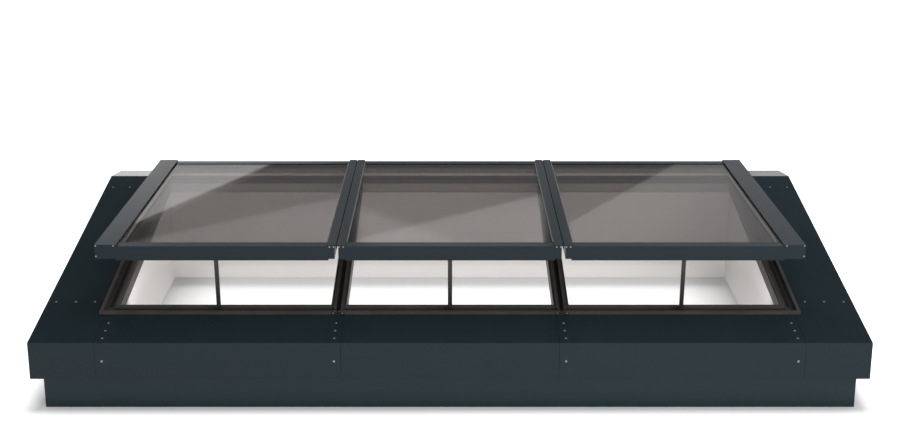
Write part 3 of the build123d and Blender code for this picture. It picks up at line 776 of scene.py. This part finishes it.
@dataclass(frozen=True)
class ScrewHead:
    """A low round head with a six-lobed recess, plain or on a flat washer.

    The radius of the washer, the rings and the recess are shares of the head's radius and height.
    """

    radius: float
    height: float
    washer: float = 0.0
    washer_edge: float = 0.16
    washer_top: float = 0.2
    sides: int = 24
    lobes: int = 6
    lobe_depth: float = 0.16
    recess: float = 0.42
    recess_rim: float = 0.97
    recess_floor: float = 0.4
    foot: tuple[tuple[float, float], ...] = ((1.0, 0.0), (1.0, 0.12))
    crown: tuple[tuple[float, float], ...] = ((0.96, 0.35), (0.84, 0.68), (0.66, 0.9), (0.52, 1.0))

    def ring(self, mesh: Mesh, radius: float, height: float, depth: float = 0.0) -> Ring:
        """One ring of points.

        Args:
            mesh: the mesh that takes them.
            radius: their distance from the middle, as a share of the head's radius.
            height: their height, as a share of the head's.
            depth: how far the lobes reach out and in, as a share of that distance.

        Returns:
            The points in turn.
        """
        points = []
        for index in range(self.sides):
            turn = math.tau * index / self.sides
            reach = radius * self.radius * (1.0 + depth * math.cos(self.lobes * turn))
            place = (reach * math.cos(turn) * MM, reach * math.sin(turn) * MM, height * self.height * MM)
            points.append(mesh.verts.new(place))
        return points

    def build(self) -> Piece:
        """Makes one head that stands on the origin and faces up.

        Returns:
            The head.
        """
        mesh = bmesh.new()
        foot = self.foot
        if self.washer:
            foot = ((self.washer, 0.0), (self.washer, self.washer_edge), (1.0, self.washer_top))
        rings = [self.ring(mesh, radius, height) for radius, height in foot + self.crown]
        for height in (self.recess_rim, self.recess_floor):
            rings.append(self.ring(mesh, self.recess, height, self.lobe_depth))
        skin(mesh, rings)
        return meshed("screw_head_pattern", mesh)


@dataclass(frozen=True)
class RivetPin:
    """A plain round pin that shows at both sides of a link plate."""

    radius: float
    length: float
    sides: int = 16
    chamfer: float = 0.4
    end_share: float = 0.7

    def build(self) -> Piece:
        """Makes one pin that lies along X, centred on the origin.

        Returns:
            The pin.
        """
        mesh = bmesh.new()
        half = self.length / 2
        shoulder = half - self.chamfer
        rings = []
        for share, x in ((self.end_share, -half), (1.0, -shoulder), (1.0, shoulder), (self.end_share, half)):
            radius = self.radius * share
            turns = [math.tau * index / self.sides for index in range(self.sides)]
            places = [(x * MM, radius * math.cos(turn) * MM, radius * math.sin(turn) * MM) for turn in turns]
            rings.append([mesh.verts.new(place) for place in places])
        skin(mesh, rings)
        return meshed("pin_pattern", mesh)


@dataclass
class Spot:
    """Where one repeated fitting sits, and the way that it faces."""

    place: Vector
    facing: Vector


class Repeater:
    """Sets one pattern on many spots with a node tree, then keeps the result as a plain mesh."""

    def __init__(self) -> None:
        """Builds the node tree once."""
        self.tree = bpy.data.node_groups.new("set_on_spots", "GeometryNodeTree")
        self.sockets: dict[str, str] = {}
        self.build_tree()

    def add_input(self, name: str, kind: str) -> None:
        """Adds an input with a name and a socket type."""
        made = self.tree.interface.new_socket(name=name, in_out="INPUT", socket_type=kind)
        self.sockets[name] = made.identifier

    def build_tree(self) -> None:
        """Makes the tree: points, facing, pattern, finish."""
        self.add_input("Spots", "NodeSocketGeometry")
        self.add_input("Pattern", "NodeSocketObject")
        self.add_input("Finish", "NodeSocketMaterial")
        self.add_input("Turn", "NodeSocketFloat")
        self.add_input("Seed", "NodeSocketInt")
        self.tree.interface.new_socket(name="Fittings", in_out="OUTPUT", socket_type="NodeSocketGeometry")
        tree = Tree(self.tree)
        given = tree.node("NodeGroupInput").outputs
        kind = {"data_type": "FLOAT_VECTOR"}
        facing = tree.node("GeometryNodeInputNamedAttribute", kind, {"Name": "facing"})
        vector = {"Vector": facing.outputs["Attribute"]}
        align = tree.node("FunctionNodeAlignRotationToVector", {"axis": "Z"}, vector)
        limits = {2: 0.0, 3: given["Turn"], "Seed": given["Seed"]}
        spin = tree.node("FunctionNodeRandomValue", {"data_type": "FLOAT"}, limits)
        turn = {"Axis": (0.0, 0.0, 1.0), "Angle": spin.outputs[1]}
        about = tree.node("FunctionNodeAxisAngleToRotation", None, turn)
        turns = {"Rotation": align.outputs["Rotation"], "Rotate By": about.outputs["Rotation"]}
        turned = tree.node("FunctionNodeRotateRotation", {"rotation_space": "LOCAL"}, turns)
        pattern = tree.node("GeometryNodeObjectInfo", None, {"Object": given["Pattern"]})
        spread = tree.node(
            "GeometryNodeInstanceOnPoints",
            None,
            {
                "Points": given["Spots"],
                "Instance": pattern.outputs["Geometry"],
                "Rotation": turned.outputs["Rotation"],
            },
        )
        real = tree.node("GeometryNodeRealizeInstances", None, {"Geometry": spread.outputs["Instances"]})
        dressed = {"Geometry": real.outputs["Geometry"], "Material": given["Finish"]}
        finish = tree.node("GeometryNodeSetMaterial", None, dressed)
        tree.node("NodeGroupOutput", None, {"Fittings": finish.outputs["Geometry"]})

    def set_on(
        self,
        name: str,
        spots: Sequence[Spot],
        pattern: Piece,
        material: Material,
        turn: float = 0.0,
        seed: int = 7,
    ) -> Piece:
        """Sets a pattern on every spot.

        Args:
            name: the new piece's name.
            spots: the spots.
            pattern: the object that is repeated; it is removed afterwards.
            material: the finish.
            turn: the largest turn about each spot's facing, in radians.
            seed: the seed of those turns.

        Returns:
            The finished piece, a plain mesh.
        """
        mesh = bpy.data.meshes.new(name)
        mesh.from_pydata([spot.place for spot in spots], [], [])
        facing = mesh.attributes.new("facing", "FLOAT_VECTOR", "POINT")
        facing.data.foreach_set("vector", [part for spot in spots for part in spot.facing])
        holder = placed(name + "_spots", mesh)
        modifier = holder.modifiers.new("repeat", "NODES")
        modifier.node_group = self.tree
        settings = {"Pattern": pattern, "Finish": material, "Turn": turn, "Seed": seed}
        for key, setting in settings.items():
            modifier[self.sockets[key]] = setting
        depsgraph = bpy.context.evaluated_depsgraph_get()
        made = bpy.data.meshes.new_from_object(holder.evaluated_get(depsgraph))
        made.name = name
        piece = placed(name, made)
        bpy.data.objects.remove(holder)
        bpy.data.objects.remove(pattern)
        return piece


@dataclass
class Trim:
    """What every group of small pieces has: its finishes, the repeater and the body that it rides on."""

    finishes: Finishes
    repeater: Repeater
    body: str

    def keep(self, piece: Piece, finish: Finish, slot: str) -> None:
        """Dresses a piece and lets it ride with the body.

        Args:
            piece: the piece.
            finish: its finish.
            slot: the record's slot for that finish; it is not used.
        """
        self.finishes.dress(piece, finish)
        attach(piece, self.body)
        log.info("%s has %d faces", piece.name, len(piece.data.polygons))

    def keep_screws(self, name: str, spots: Sequence[Spot], head: ScrewHead, seed: int) -> Piece:
        """Sets a screw on every spot, each turned at random.

        Args:
            name: the new piece's name.
            spots: the spots.
            head: the shape of the screws.
            seed: the seed of their turns.

        Returns:
            The screws, as one piece.
        """
        recess_turn = math.tau / head.lobes
        steel = self.finishes.get(Finish.SCREW)
        screws = self.repeater.set_on(name, spots, head.build(), steel, recess_turn, seed)
        self.keep(screws, Finish.SCREW, "screw_steel")
        return screws


@dataclass(frozen=True)
class Stile:
    """One side of a sash: how wide its end caps are and how far it bites over the glass."""

    cap: float
    bite: float
    outermost: bool


OUTER = Stile(cap=94.0, bite=24.0, outermost=True)
INNER = Stile(cap=39.5, bite=18.0, outermost=False)


@dataclass(frozen=True)
class Module:
    """One sash of the row: its two edges, its stiles and the middle of its chain."""

    left: float
    right: float
    left_stile: Stile
    right_stile: Stile
    chain_x: float


MODULES = {
    "left": Module(left=-1564.5, right=-502.0, left_stile=OUTER, right_stile=INNER, chain_x=-1035.0),
    "middle": Module(left=-498.0, right=498.0, left_stile=INNER, right_stile=INNER, chain_x=0.0),
    "right": Module(left=502.0, right=1564.5, left_stile=INNER, right_stile=OUTER, chain_x=1035.0),
}


@dataclass
class SashTrim(Trim):
    """The white lining, the seal, the beads, the lips and the screws of one sash."""

    module: Module
    length: float = 1566.0
    front_rail: float = 57.0
    back_rail: float = 160.0
    back_cover: float = 61.0
    back_bite: float = 24.0
    lining_tuck: float = 3.0
    lining_sheet: float = 0.4
    rail_play: float = 1.0
    ledge: float = 6.0
    bed: float = 45.0
    depth: float = 60.0
    lip_height: float = 1.8
    lip_drop: float = 0.3
    seal_low: float = 8.5
    seal_high: float = 6.9
    seal_side: float = 2.2
    seal_end: float = 3.4
    bead_width: float = 4.5
    bead_low: float = 6.8
    bead_high: float = 2.5
    side_lip_inset: float = 6.0
    side_lip_width: float = 1.8
    side_lip_low: float = 20.0
    side_lip_high: float = 4.0
    cap_height: float = 65.0
    screw: ScrewHead = ScrewHead(radius=3.6, height=1.6)
    screw_inset: float = 5.0
    screw_inset_inner: float = 10.0
    screw_from_edge: float = 11.0
    screw_from_foot: float = 12.0
    screw_seed: int = 11

    def sides(self) -> tuple[tuple[float, float, Stile], tuple[float, float, Stile]]:
        """The edge, the way inwards and the stile of each side."""
        module = self.module
        return (module.left, 1.0, module.left_stile), (module.right, -1.0, module.right_stile)

    def opening(self, side_inset: float, front: float, back: float) -> tuple[float, float, float, float]:
        """Left, right, lower and upper edge of a ring inside the sash.

        Args:
            side_inset: how far beyond the caps' inner edges its sides are.
            front: its lower edge.
            back: its upper edge.

        Returns:
            The four edges, in mm.
        """
        left = self.module.left + self.module.left_stile.cap + side_inset
        right = self.module.right - self.module.right_stile.cap - side_inset
        return left, right, front, back

    def add_lining(self) -> None:
        """Lays the white lining on the glass bed and down the inner faces of the rails and stiles."""
        sheet = self.lining_sheet
        inner = self.opening(-self.ledge, self.front_rail - self.lining_tuck, self.length - self.back_rail)
        outer = (
            self.module.left + self.module.left_stile.bite + self.rail_play,
            self.module.right - self.module.right_stile.bite - self.rail_play,
            self.back_bite + self.rail_play,
            self.length - self.back_cover + self.back_bite - self.rail_play,
        )
        opening = (inner[0] + sheet, inner[1] - sheet, inner[2] + sheet, inner[3] - sheet)
        lining = Solids()
        lining.ring(SASH_TOP, outer, opening, (-self.bed, sheet - self.bed))
        lining.ring(SASH_TOP, inner, opening, (self.lip_height - self.depth, -self.bed))
        self.keep(lining.make(f"{self.body}_inner_lining"), Finish.SASH_LINING, "lining_paint")
        lip = Solids()
        lip.ring(SASH_TOP, inner, opening, (self.lip_drop - self.depth, self.lip_height - self.depth))
        self.keep(lip.make(f"{self.body}_inner_lip"), Finish.GASKET, "rubber")

    def add_seal(self) -> None:
        """Runs the black glazing seal round the outer pane, tucked under the caps."""
        seal = Solids()
        back = self.length - self.back_cover
        outer = self.opening(0.0, self.front_rail, back)
        inner = self.opening(self.seal_side, self.front_rail + self.seal_end, back - self.seal_end)
        seal.ring(SASH_TOP, outer, inner, (-self.seal_low, -self.seal_high))
        self.keep(seal.make(f"{self.body}_glazing_seal"), Finish.GASKET, "rubber")

    def add_beads(self) -> None:
        """Lays a satin bead on the glass along each stile that has a neighbour."""
        beads = Solids()
        ups = (self.front_rail + self.rail_play, self.length - self.back_cover - self.rail_play)
        for edge, inwards, stile in self.sides():
            if not stile.outermost:
                rim = edge + inwards * stile.cap
                across = (rim, rim + inwards * self.bead_width)
                beads.block(SASH_TOP, across, ups, (-self.bead_low, -self.bead_high))
        self.keep(beads.make(f"{self.body}_beads"), Finish.BEAD, "fitting_steel")

    def add_side_lips(self) -> None:
        """Puts a black lip along each stile that has a neighbour, so that the gap between sashes is dark."""
        lips = Solids()
        ups = (self.side_lip_inset, self.length - self.side_lip_inset)
        for edge, inwards, stile in self.sides():
            if not stile.outermost:
                across = (edge, edge - inwards * self.side_lip_width)
                lips.block(SASH_TOP, across, ups, (-self.side_lip_low, -self.side_lip_high))
        self.keep(lips.make(f"{self.body}_side_lips"), Finish.GASKET, "rubber")

    def cap_places(self, stile: Stile) -> tuple[tuple[float, float], ...]:
        """How far in from the edge and down from the top each screw of an end cap is, in mm."""
        far = stile.cap - self.screw_from_edge
        if stile.outermost:
            inset = self.screw_inset
            return (inset, inset), (far, inset), (inset, self.cap_height - self.screw_from_foot)
        inset = self.screw_inset_inner
        return (inset, inset), (far, inset)

    def cap_spots(self) -> list[Spot]:
        """The screws of the four end caps."""
        along = SASH_TOP.axes()[0]
        spots = []
        for up, facing in ((0.0, -along), (self.length, along)):
            for edge, inwards, stile in self.sides():
                for across, down in self.cap_places(stile):
                    spots.append(Spot(SASH_TOP.point(edge + inwards * across, up, -down), facing))
        return spots

    def build(self) -> None:
        """Adds every small piece of the sash."""
        self.add_lining()
        self.add_seal()
        self.add_beads()
        self.add_side_lips()
        self.keep_screws(f"{self.body}_cap_screws", self.cap_spots(), self.screw, self.screw_seed)


@dataclass
class ChainPins(Trim):
    """The pins that join the links of one chain."""

    x: float
    pivot_y: float = -732.629
    pivot_z: float = 612.828
    lean: float = 0.08715
    pitch: float = 12.0
    links: int = 23
    pin: RivetPin = RivetPin(radius=2.2, length=20.4)

    def build(self) -> None:
        """Sets a pin across each link below the top one."""
        down = Vector((0.0, math.sin(self.lean), -math.cos(self.lean))) * MM
        top = Vector((self.x, self.pivot_y, self.pivot_z)) * MM
        upright = Vector((0.0, 0.0, 1.0))
        spots = [Spot(top + down * self.pitch * index, upright) for index in range(1, self.links)]
        zinc = self.finishes.get(Finish.FITTING)
        pins = self.repeater.set_on(f"{self.body}_pins", spots, self.pin.build(), zinc)
        self.keep(pins, Finish.FITTING, "fitting_steel")


@dataclass
class KerbTrim(Trim):
    """Screw heads of the cladding, liners, dark strips that paint the shade of a groove in the channels, and
    the screws of the frames' end plates.
    """

    start: float = 251.0
    length: float = 1500.0
    half_width: float = 1564.5
    module_edge: float = 500.0
    module_gap: float = 2.0
    hood_half_width: float = 1823.0
    ridge_y: float = 754.17
    back_fall_deg: float = 7.7
    front_screws_x: tuple[float, float] = (1507.0, 502.0)
    front_screws_up: tuple[float, float, float] = (40.0, 106.0, 173.0)
    side_screws_x: tuple[float, float, float] = (1608.0, 1695.0, 1784.0)
    side_screws_up: tuple[float, float] = (368.0, 1627.0)
    screw_down: float = 85.0
    cladding_screw: ScrewHead = ScrewHead(radius=4.4, height=2.3, washer=1.13)
    cladding_screw_seed: int = 3
    plate_gap: float = 0.3
    plate_thickness: float = 2.5
    plate_screw_height: float = 7.6
    plate_screw_offset: float = 20.7
    plate_screw: ScrewHead = ScrewHead(radius=3.4, height=1.5)
    plate_screw_seed: int = 5
    channel: float = -12.0
    strip_from: float = 28.0
    strip_to: float = 42.0
    strip_end_inset: float = 90.0
    strip_thickness: float = 0.8
    back_member: float = 75.0
    mullion_rail: float = 33.5
    liner_play: float = 0.5
    liner_thickness: float = 0.4
    liner_low: float = -59.5
    liner_high: float = -12.0

    def roof_height(self, y: float) -> float:
        """Height of the cladding at y, on the front slope or behind the ridge, in mm."""
        rise = (min(y, self.ridge_y) - ROOF.start_y) * math.tan(math.radians(ROOF.angle_deg))
        fall = max(y - self.ridge_y, 0.0) * math.tan(math.radians(self.back_fall_deg))
        return ROOF.start_z + rise - fall

    def level_spot(self, x: float, y: float, facing: Sequence[float]) -> Spot:
        """A screw in one of the upright sides of the hood, below the roof's edge there."""
        height = self.roof_height(y) - self.screw_down
        return Spot(Vector((x, y, height)) * MM, Vector(facing))

    def screw_spots(self) -> list[Spot]:
        """The place and facing of every cladding screw."""
        square = ROOF.axes()[1]
        spots = []
        for sign in (-1.0, 1.0):
            for x in self.front_screws_x:
                spots += [Spot(ROOF.point(sign * x, up, 0.0), square) for up in self.front_screws_up]
                spots.append(self.level_spot(sign * x, ROOF.start_y, (0.0, -1.0, 0.0)))
            spots.append(self.level_spot(sign * self.front_screws_x[0], -ROOF.start_y, (0.0, 1.0, 0.0)))
            for up in self.side_screws_up:
                spots += [Spot(ROOF.point(sign * x, up, 0.0), square) for x in self.side_screws_x]
                flank_y = ROOF.point(0.0, up, 0.0).y / MM
                spots.append(self.level_spot(sign * self.hood_half_width, flank_y, (sign, 0.0, 0.0)))
        return spots

    def add_cladding_screws(self) -> None:
        """Puts a detailed screw head in place of each plain one."""
        head = self.cladding_screw
        screws = self.keep_screws("cladding_screw_heads", self.screw_spots(), head, self.cladding_screw_seed)
        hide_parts("cladding_screws")

    def add_plate_screws(self) -> None:
        """Two bright screws in each end plate of the joints between the frames."""
        along = ROOF.axes()[0]
        face_up = self.start - self.plate_gap - self.plate_thickness
        spots = [
            Spot(ROOF.point(sign * self.module_edge + offset, face_up, self.plate_screw_height), -along)
            for sign in (-1.0, 1.0)
            for offset in (-self.plate_screw_offset, self.plate_screw_offset)
        ]
        self.keep_screws("end_plate_screws", spots, self.plate_screw, self.plate_screw_seed)

    def add_groove_shade_strips(self) -> None:
        """Black strips along the channels of the outer frame members, a painted shade of a groove in each
        channel.
        """
        strips = Solids()
        low = self.start + self.strip_end_inset
        high = self.start + self.length - self.strip_end_inset
        outer = self.half_width - self.strip_from
        inner = self.half_width - self.strip_to
        heights = (self.channel, self.channel + self.strip_thickness)
        for sign in (-1.0, 1.0):
            strips.block(ROOF, (sign * outer, sign * inner), (low, high), heights)
        # The dark strips are painted shade: they stand for a shaded groove in each channel.
        self.keep(strips.make("channel_drain_strips"), Finish.RUBBER, "rubber")

    def add_back_liners(self) -> None:
        """Pale liners on the inner faces of the frames' back members."""
        face_up = self.start + self.length - self.back_member
        edge = self.half_width - self.back_member
        inner = self.module_edge + self.module_gap / 2 + self.mullion_rail
        middle = self.module_edge - self.module_gap / 2 - self.mullion_rail
        ups = (face_up - self.liner_thickness, face_up)
        heights = (self.liner_low, self.liner_high)
        liners = Solids()
        for left, right in ((-edge, -inner), (-middle, middle), (inner, edge)):
            liners.block(ROOF, (left + self.liner_play, right - self.liner_play), ups, heights)
        self.keep(liners.make("back_member_liners"), Finish.LINER, "lining_paint")

    def build(self) -> None:
        """Adds every small piece of the kerb and the frames."""
        self.add_back_liners()
        self.add_cladding_screws()
        self.add_plate_screws()
        self.add_groove_shade_strips()


@dataclass(frozen=True)
class SoftPanel:
    """One pale panel on the backdrop with a leaning edge.

    It is the part above the edge, or with a negative softness the part below it.
    """

    lean: float
    edge: float
    softness: float
    strength: float
    left: float
    right: float
    side_softness: float = 0.15

    def level(self, side: Amount, height: Amount) -> Amount:
        """How bright the panel is.

        Args:
            side: the place to the right.
            height: the height.

        Returns:
            Its brightness there.
        """
        across = (height + side * self.lean).step(self.edge - self.softness, self.edge + self.softness)
        within = side.step(self.left, self.left + self.side_softness)
        before = side.step(self.right, self.right - self.side_softness)
        return across * within * before * self.strength


@dataclass(frozen=True)
class Lamp:
    """One soft lamp: where it hangs, the point that it faces, its width and height, and its watts."""

    name: str
    place: Place
    aim: Place
    size: Span
    watts: float

    def hang(self) -> None:
        """Hangs the lamp, which the camera, gloss and glass don't show."""
        light = bpy.data.lights.new(self.name, "AREA")
        light.shape = "RECTANGLE"
        light.size, light.size_y = self.size
        light.energy = self.watts
        lamp = placed(self.name, light)
        lamp.location = self.place
        lamp.rotation_mode = "QUATERNION"
        lamp.rotation_quaternion = (Vector(self.aim) - Vector(self.place)).to_track_quat("-Z", "Y")
        lamp.visible_camera = False
        lamp.visible_glossy = False
        lamp.visible_transmission = False


@dataclass
class Studio:
    """The camera, the white floor, the pale backdrop that the sashes mirror, and the lamps.

    Each span is where a soft step starts and where it ends, in metres: the floor's beside the kerb's outer
    sides, less than nothing being inside them, and the backdrop's by height. The floor's glow is low next to
    the kerb, a painted shadow, and inside the well it is painted light that is darker towards the side walls,
    a painted shade.
    """

    lens_mm: float = 59.44
    sensor_mm: float = 36.0
    camera_place: Place = (0.0, -6.979, 2.658)
    camera_pitch_deg: float = 16.72
    floor_half: float = 30.0
    floor_colour: Colour = (0.8, 0.8, 0.8)
    kerb_half: Span = (1.8, 0.975)
    floor_glow: float = 0.9
    # Painted shadow: the floor's glow rises from nothing next to the kerb to its full level over this span.
    painted_shadow_span: Span = (-0.035, 0.14)
    # Painted light on the floor inside the well, lower towards the side walls: painted shade there.
    painted_well_light: float = 0.36
    painted_light_edge: Span = (-0.05, -0.1)
    painted_wall_shade_span: Span = (-0.3, -0.62)
    painted_light_evenness: float = 0.4
    backdrop_distance: float = 6.0
    backdrop_half: float = 9.0
    backdrop_top: float = 3.6
    backdrop_level: float = 0.16
    backdrop_span: Span = (3.4, 1.7)
    backdrop_dim: float = 0.06
    horizon_level: float = 0.75
    horizon_span: Span = (1.6, 1.2)
    world_light: float = 0.55
    world_gloss: float = 0.05
    panels: tuple[SoftPanel, ...] = (
        SoftPanel(lean=0.44, edge=1.21, softness=-0.02, strength=0.72, left=-9.0, right=-0.95),
        SoftPanel(lean=0.22, edge=2.01, softness=0.03, strength=0.22, left=-9.0, right=-0.9),
        SoftPanel(lean=0.25, edge=2.41, softness=0.03, strength=0.34, left=-0.9, right=0.95),
        SoftPanel(lean=-0.36, edge=2.62, softness=0.08, strength=0.25, left=-0.9, right=0.95),
        SoftPanel(lean=0.59, edge=3.11, softness=0.02, strength=0.28, left=0.95, right=9.0),
    )
    lamps: tuple[Lamp, ...] = (
        Lamp("overhead", place=(1.2, 0.6, 5.0), aim=(0.2, 0.0, 0.0), size=(5.0, 4.0), watts=150.0),
        Lamp("front", place=(0.6, -7.0, 1.5), aim=(0.0, 0.0, 0.4), size=(8.0, 2.2), watts=225.0),
        Lamp("front_right", place=(4.5, -5.5, 2.0), aim=(0.6, 0.0, 0.3), size=(3.0, 2.0), watts=100.0),
        Lamp("well", place=(0.0, 0.0, 0.22), aim=(0.0, -0.03, 0.0), size=(2.7, 1.3), watts=4.6),
        Lamp("back_rails", place=(0.0, -0.52, 0.3), aim=(0.0, 0.75, 0.6), size=(2.8, 0.1), watts=5.5),
    )

    def place_camera(self) -> None:
        """Sets the camera where the photograph was taken from."""
        lens = bpy.data.cameras.new("photo_camera")
        lens.lens = self.lens_mm
        lens.sensor_width = self.sensor_mm
        lens.sensor_fit = "HORIZONTAL"
        camera = placed("photo_camera", lens)
        camera.location = self.camera_place
        camera.rotation_euler = (math.radians(90.0 - self.camera_pitch_deg), 0.0, 0.0)
        bpy.context.scene.camera = camera

    def sheet(self, name: str, corners: Sequence[Place], material: Material) -> Piece:
        """Makes one flat stage sheet.

        Args:
            name: its name.
            corners: its four corners in turn.
            material: its material.

        Returns:
            The sheet.
        """
        mesh = bpy.data.meshes.new(name)
        mesh.from_pydata(corners, [], [(0, 1, 2, 3)])
        mesh.materials.append(material)
        piece = placed(name, mesh)
        return piece

    def lay_floor(self, height: float) -> None:
        """Lays a white floor that keeps the soft shadow of the skylight, with a painted shadow in its glow
        beside the kerb and painted light and shade in its glow inside the well.

        Args:
            height: where the skylight stands.
        """
        material, shader = new_material("white_floor")
        light_path = shader.node("ShaderNodeLightPath")
        seen = (
            Amount(shader, light_path.outputs["Is Camera Ray"])
            .larger(light_path.outputs["Is Glossy Ray"])
            .larger(light_path.outputs["Is Transmission Ray"])
        )
        beside = shader.axis("X").size() - self.kerb_half[0]
        before = shader.axis("Y").size() - self.kerb_half[1]
        away = (beside.larger(0.0) ** 2.0 + before.larger(0.0) ** 2.0) ** 0.5
        # Inside the well the floor glows more towards the middle: painted light, with painted shade towards
        # the side walls.
        within = beside.step(*self.painted_light_edge) * before.step(*self.painted_light_edge)
        inside = beside.step(*self.painted_wall_shade_span) * within
        well = inside.blend(within, self.painted_light_evenness) * self.painted_well_light
        # The glow is nothing next to the kerb and full away from it: a painted soft shadow over the floor's
        # real shadow.
        level = away.step(*self.painted_shadow_span) * self.floor_glow + well
        matt = shader.node("ShaderNodeBsdfDiffuse", None, {"Color": (*self.floor_colour, 1.0)})
        glow = shader.node("ShaderNodeEmission", None, {"Strength": seen * level})
        both = shader.node("ShaderNodeAddShader", None, {0: matt.outputs[0], 1: glow.outputs[0]})
        shader.output("ShaderNodeOutputMaterial", both.outputs[0])
        half = self.floor_half
        signs = ((-1.0, -1.0), (1.0, -1.0), (1.0, 1.0), (-1.0, 1.0))
        self.sheet("floor", [(x * half, y * half, height) for x, y in signs], material)

    def hang_backdrop(self) -> None:
        """Hangs a pale sheet behind the skylight, which only its gloss and glass see."""
        material, shader = new_material("pale_backdrop")
        height = shader.axis("Z")
        side = shader.axis("X")
        haze = height.step(*self.backdrop_span) * self.backdrop_level
        horizon = height.step(*self.horizon_span) * self.horizon_level
        level = haze + horizon + self.backdrop_dim
        for panel in self.panels:
            level = level + panel.level(side, height)
        glow = shader.node("ShaderNodeEmission", None, {"Strength": level})
        shader.output("ShaderNodeOutputMaterial", glow.outputs[0])
        half = self.backdrop_half
        away = self.backdrop_distance
        top = self.backdrop_top
        corners = [(-half, away, 0.0), (half, away, 0.0), (half, away, top), (-half, away, top)]
        backdrop = self.sheet("backdrop", corners, material)
        backdrop.visible_camera = False
        backdrop.visible_shadow = False
        backdrop.visible_diffuse = False

    def light_world(self) -> None:
        """Makes the world white where the camera sees it and an even light elsewhere."""
        world = bpy.data.worlds.new("studio")
        world.use_nodes = True
        bpy.context.scene.world = world
        shader = Shader(world.node_tree)
        light_path = shader.node("ShaderNodeLightPath")
        camera = Amount(shader, light_path.outputs["Is Camera Ray"])
        gloss = Amount(shader, light_path.outputs["Is Glossy Ray"])
        level = self.world_light * (1.0 - gloss) + self.world_gloss * gloss
        strength = camera + level * (1.0 - camera)
        sky = shader.node("ShaderNodeBackground", None, {"Color": (1.0, 1.0, 1.0, 1.0), "Strength": strength})
        shader.output("ShaderNodeOutputWorld", sky.outputs[0])

    def build(self, floor_height: float) -> None:
        """Sets the whole stage.

        Args:
            floor_height: where the skylight stands.
        """
        bpy.context.scene.view_settings.view_transform = "Standard"
        self.place_camera()
        self.lay_floor(floor_height)
        self.hang_backdrop()
        self.light_world()
        for lamp in self.lamps:
            lamp.hang()


def dress_frame(finishes: Finishes) -> None:
    """Gives every fixed and moving CAD piece its finish.

    Args:
        finishes: the finishes.
    """
    parts = {
        "sole_frame": Finish.TIMBER,
        "core_": Finish.INSULATION,
        "plinth_": Finish.PLINTH,
        "lining_": Finish.LINING,
        "cladding_screws": Finish.SCREW,
        "cladding_": Finish.CLADDING,
        "frame_": Finish.FRAME,
        "mullion_seals": Finish.RUBBER,
        "chain_drives": Finish.DRIVE,
        "chain_": Finish.CHAIN,
        "hinge_brackets": Finish.FITTING,
    }
    sash_parts = {
        "_glass": Finish.GLASS,
        "_gasket": Finish.RUBBER,
        "_hinges": Finish.FITTING,
        "_fork": Finish.FITTING,
        "": Finish.SASH,
    }
    for name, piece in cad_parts.items():
        if name.startswith("sash_"):
            finish = next(found for ending, found in sash_parts.items() if name.endswith(ending))
        else:
            finish = next(found for start, found in parts.items() if name.startswith(start))
        finishes.dress(piece, finish)


def main() -> None:
    """Builds the stage and everything on the skylight."""
    logging.basicConfig(level=logging.INFO, format="%(name)s: %(message)s")
    finishes = Finishes()
    repeater = Repeater()
    Studio().build(CAD_BOX[0].z)
    dress_frame(finishes)
    KerbTrim(finishes, repeater, "curb").build()
    for side, module in MODULES.items():
        SashTrim(finishes, repeater, f"sash_{side}", module).build()
        ChainPins(finishes, repeater, f"chain_{side}", module.chain_x).build()


if __name__ == "__main__":
    main()
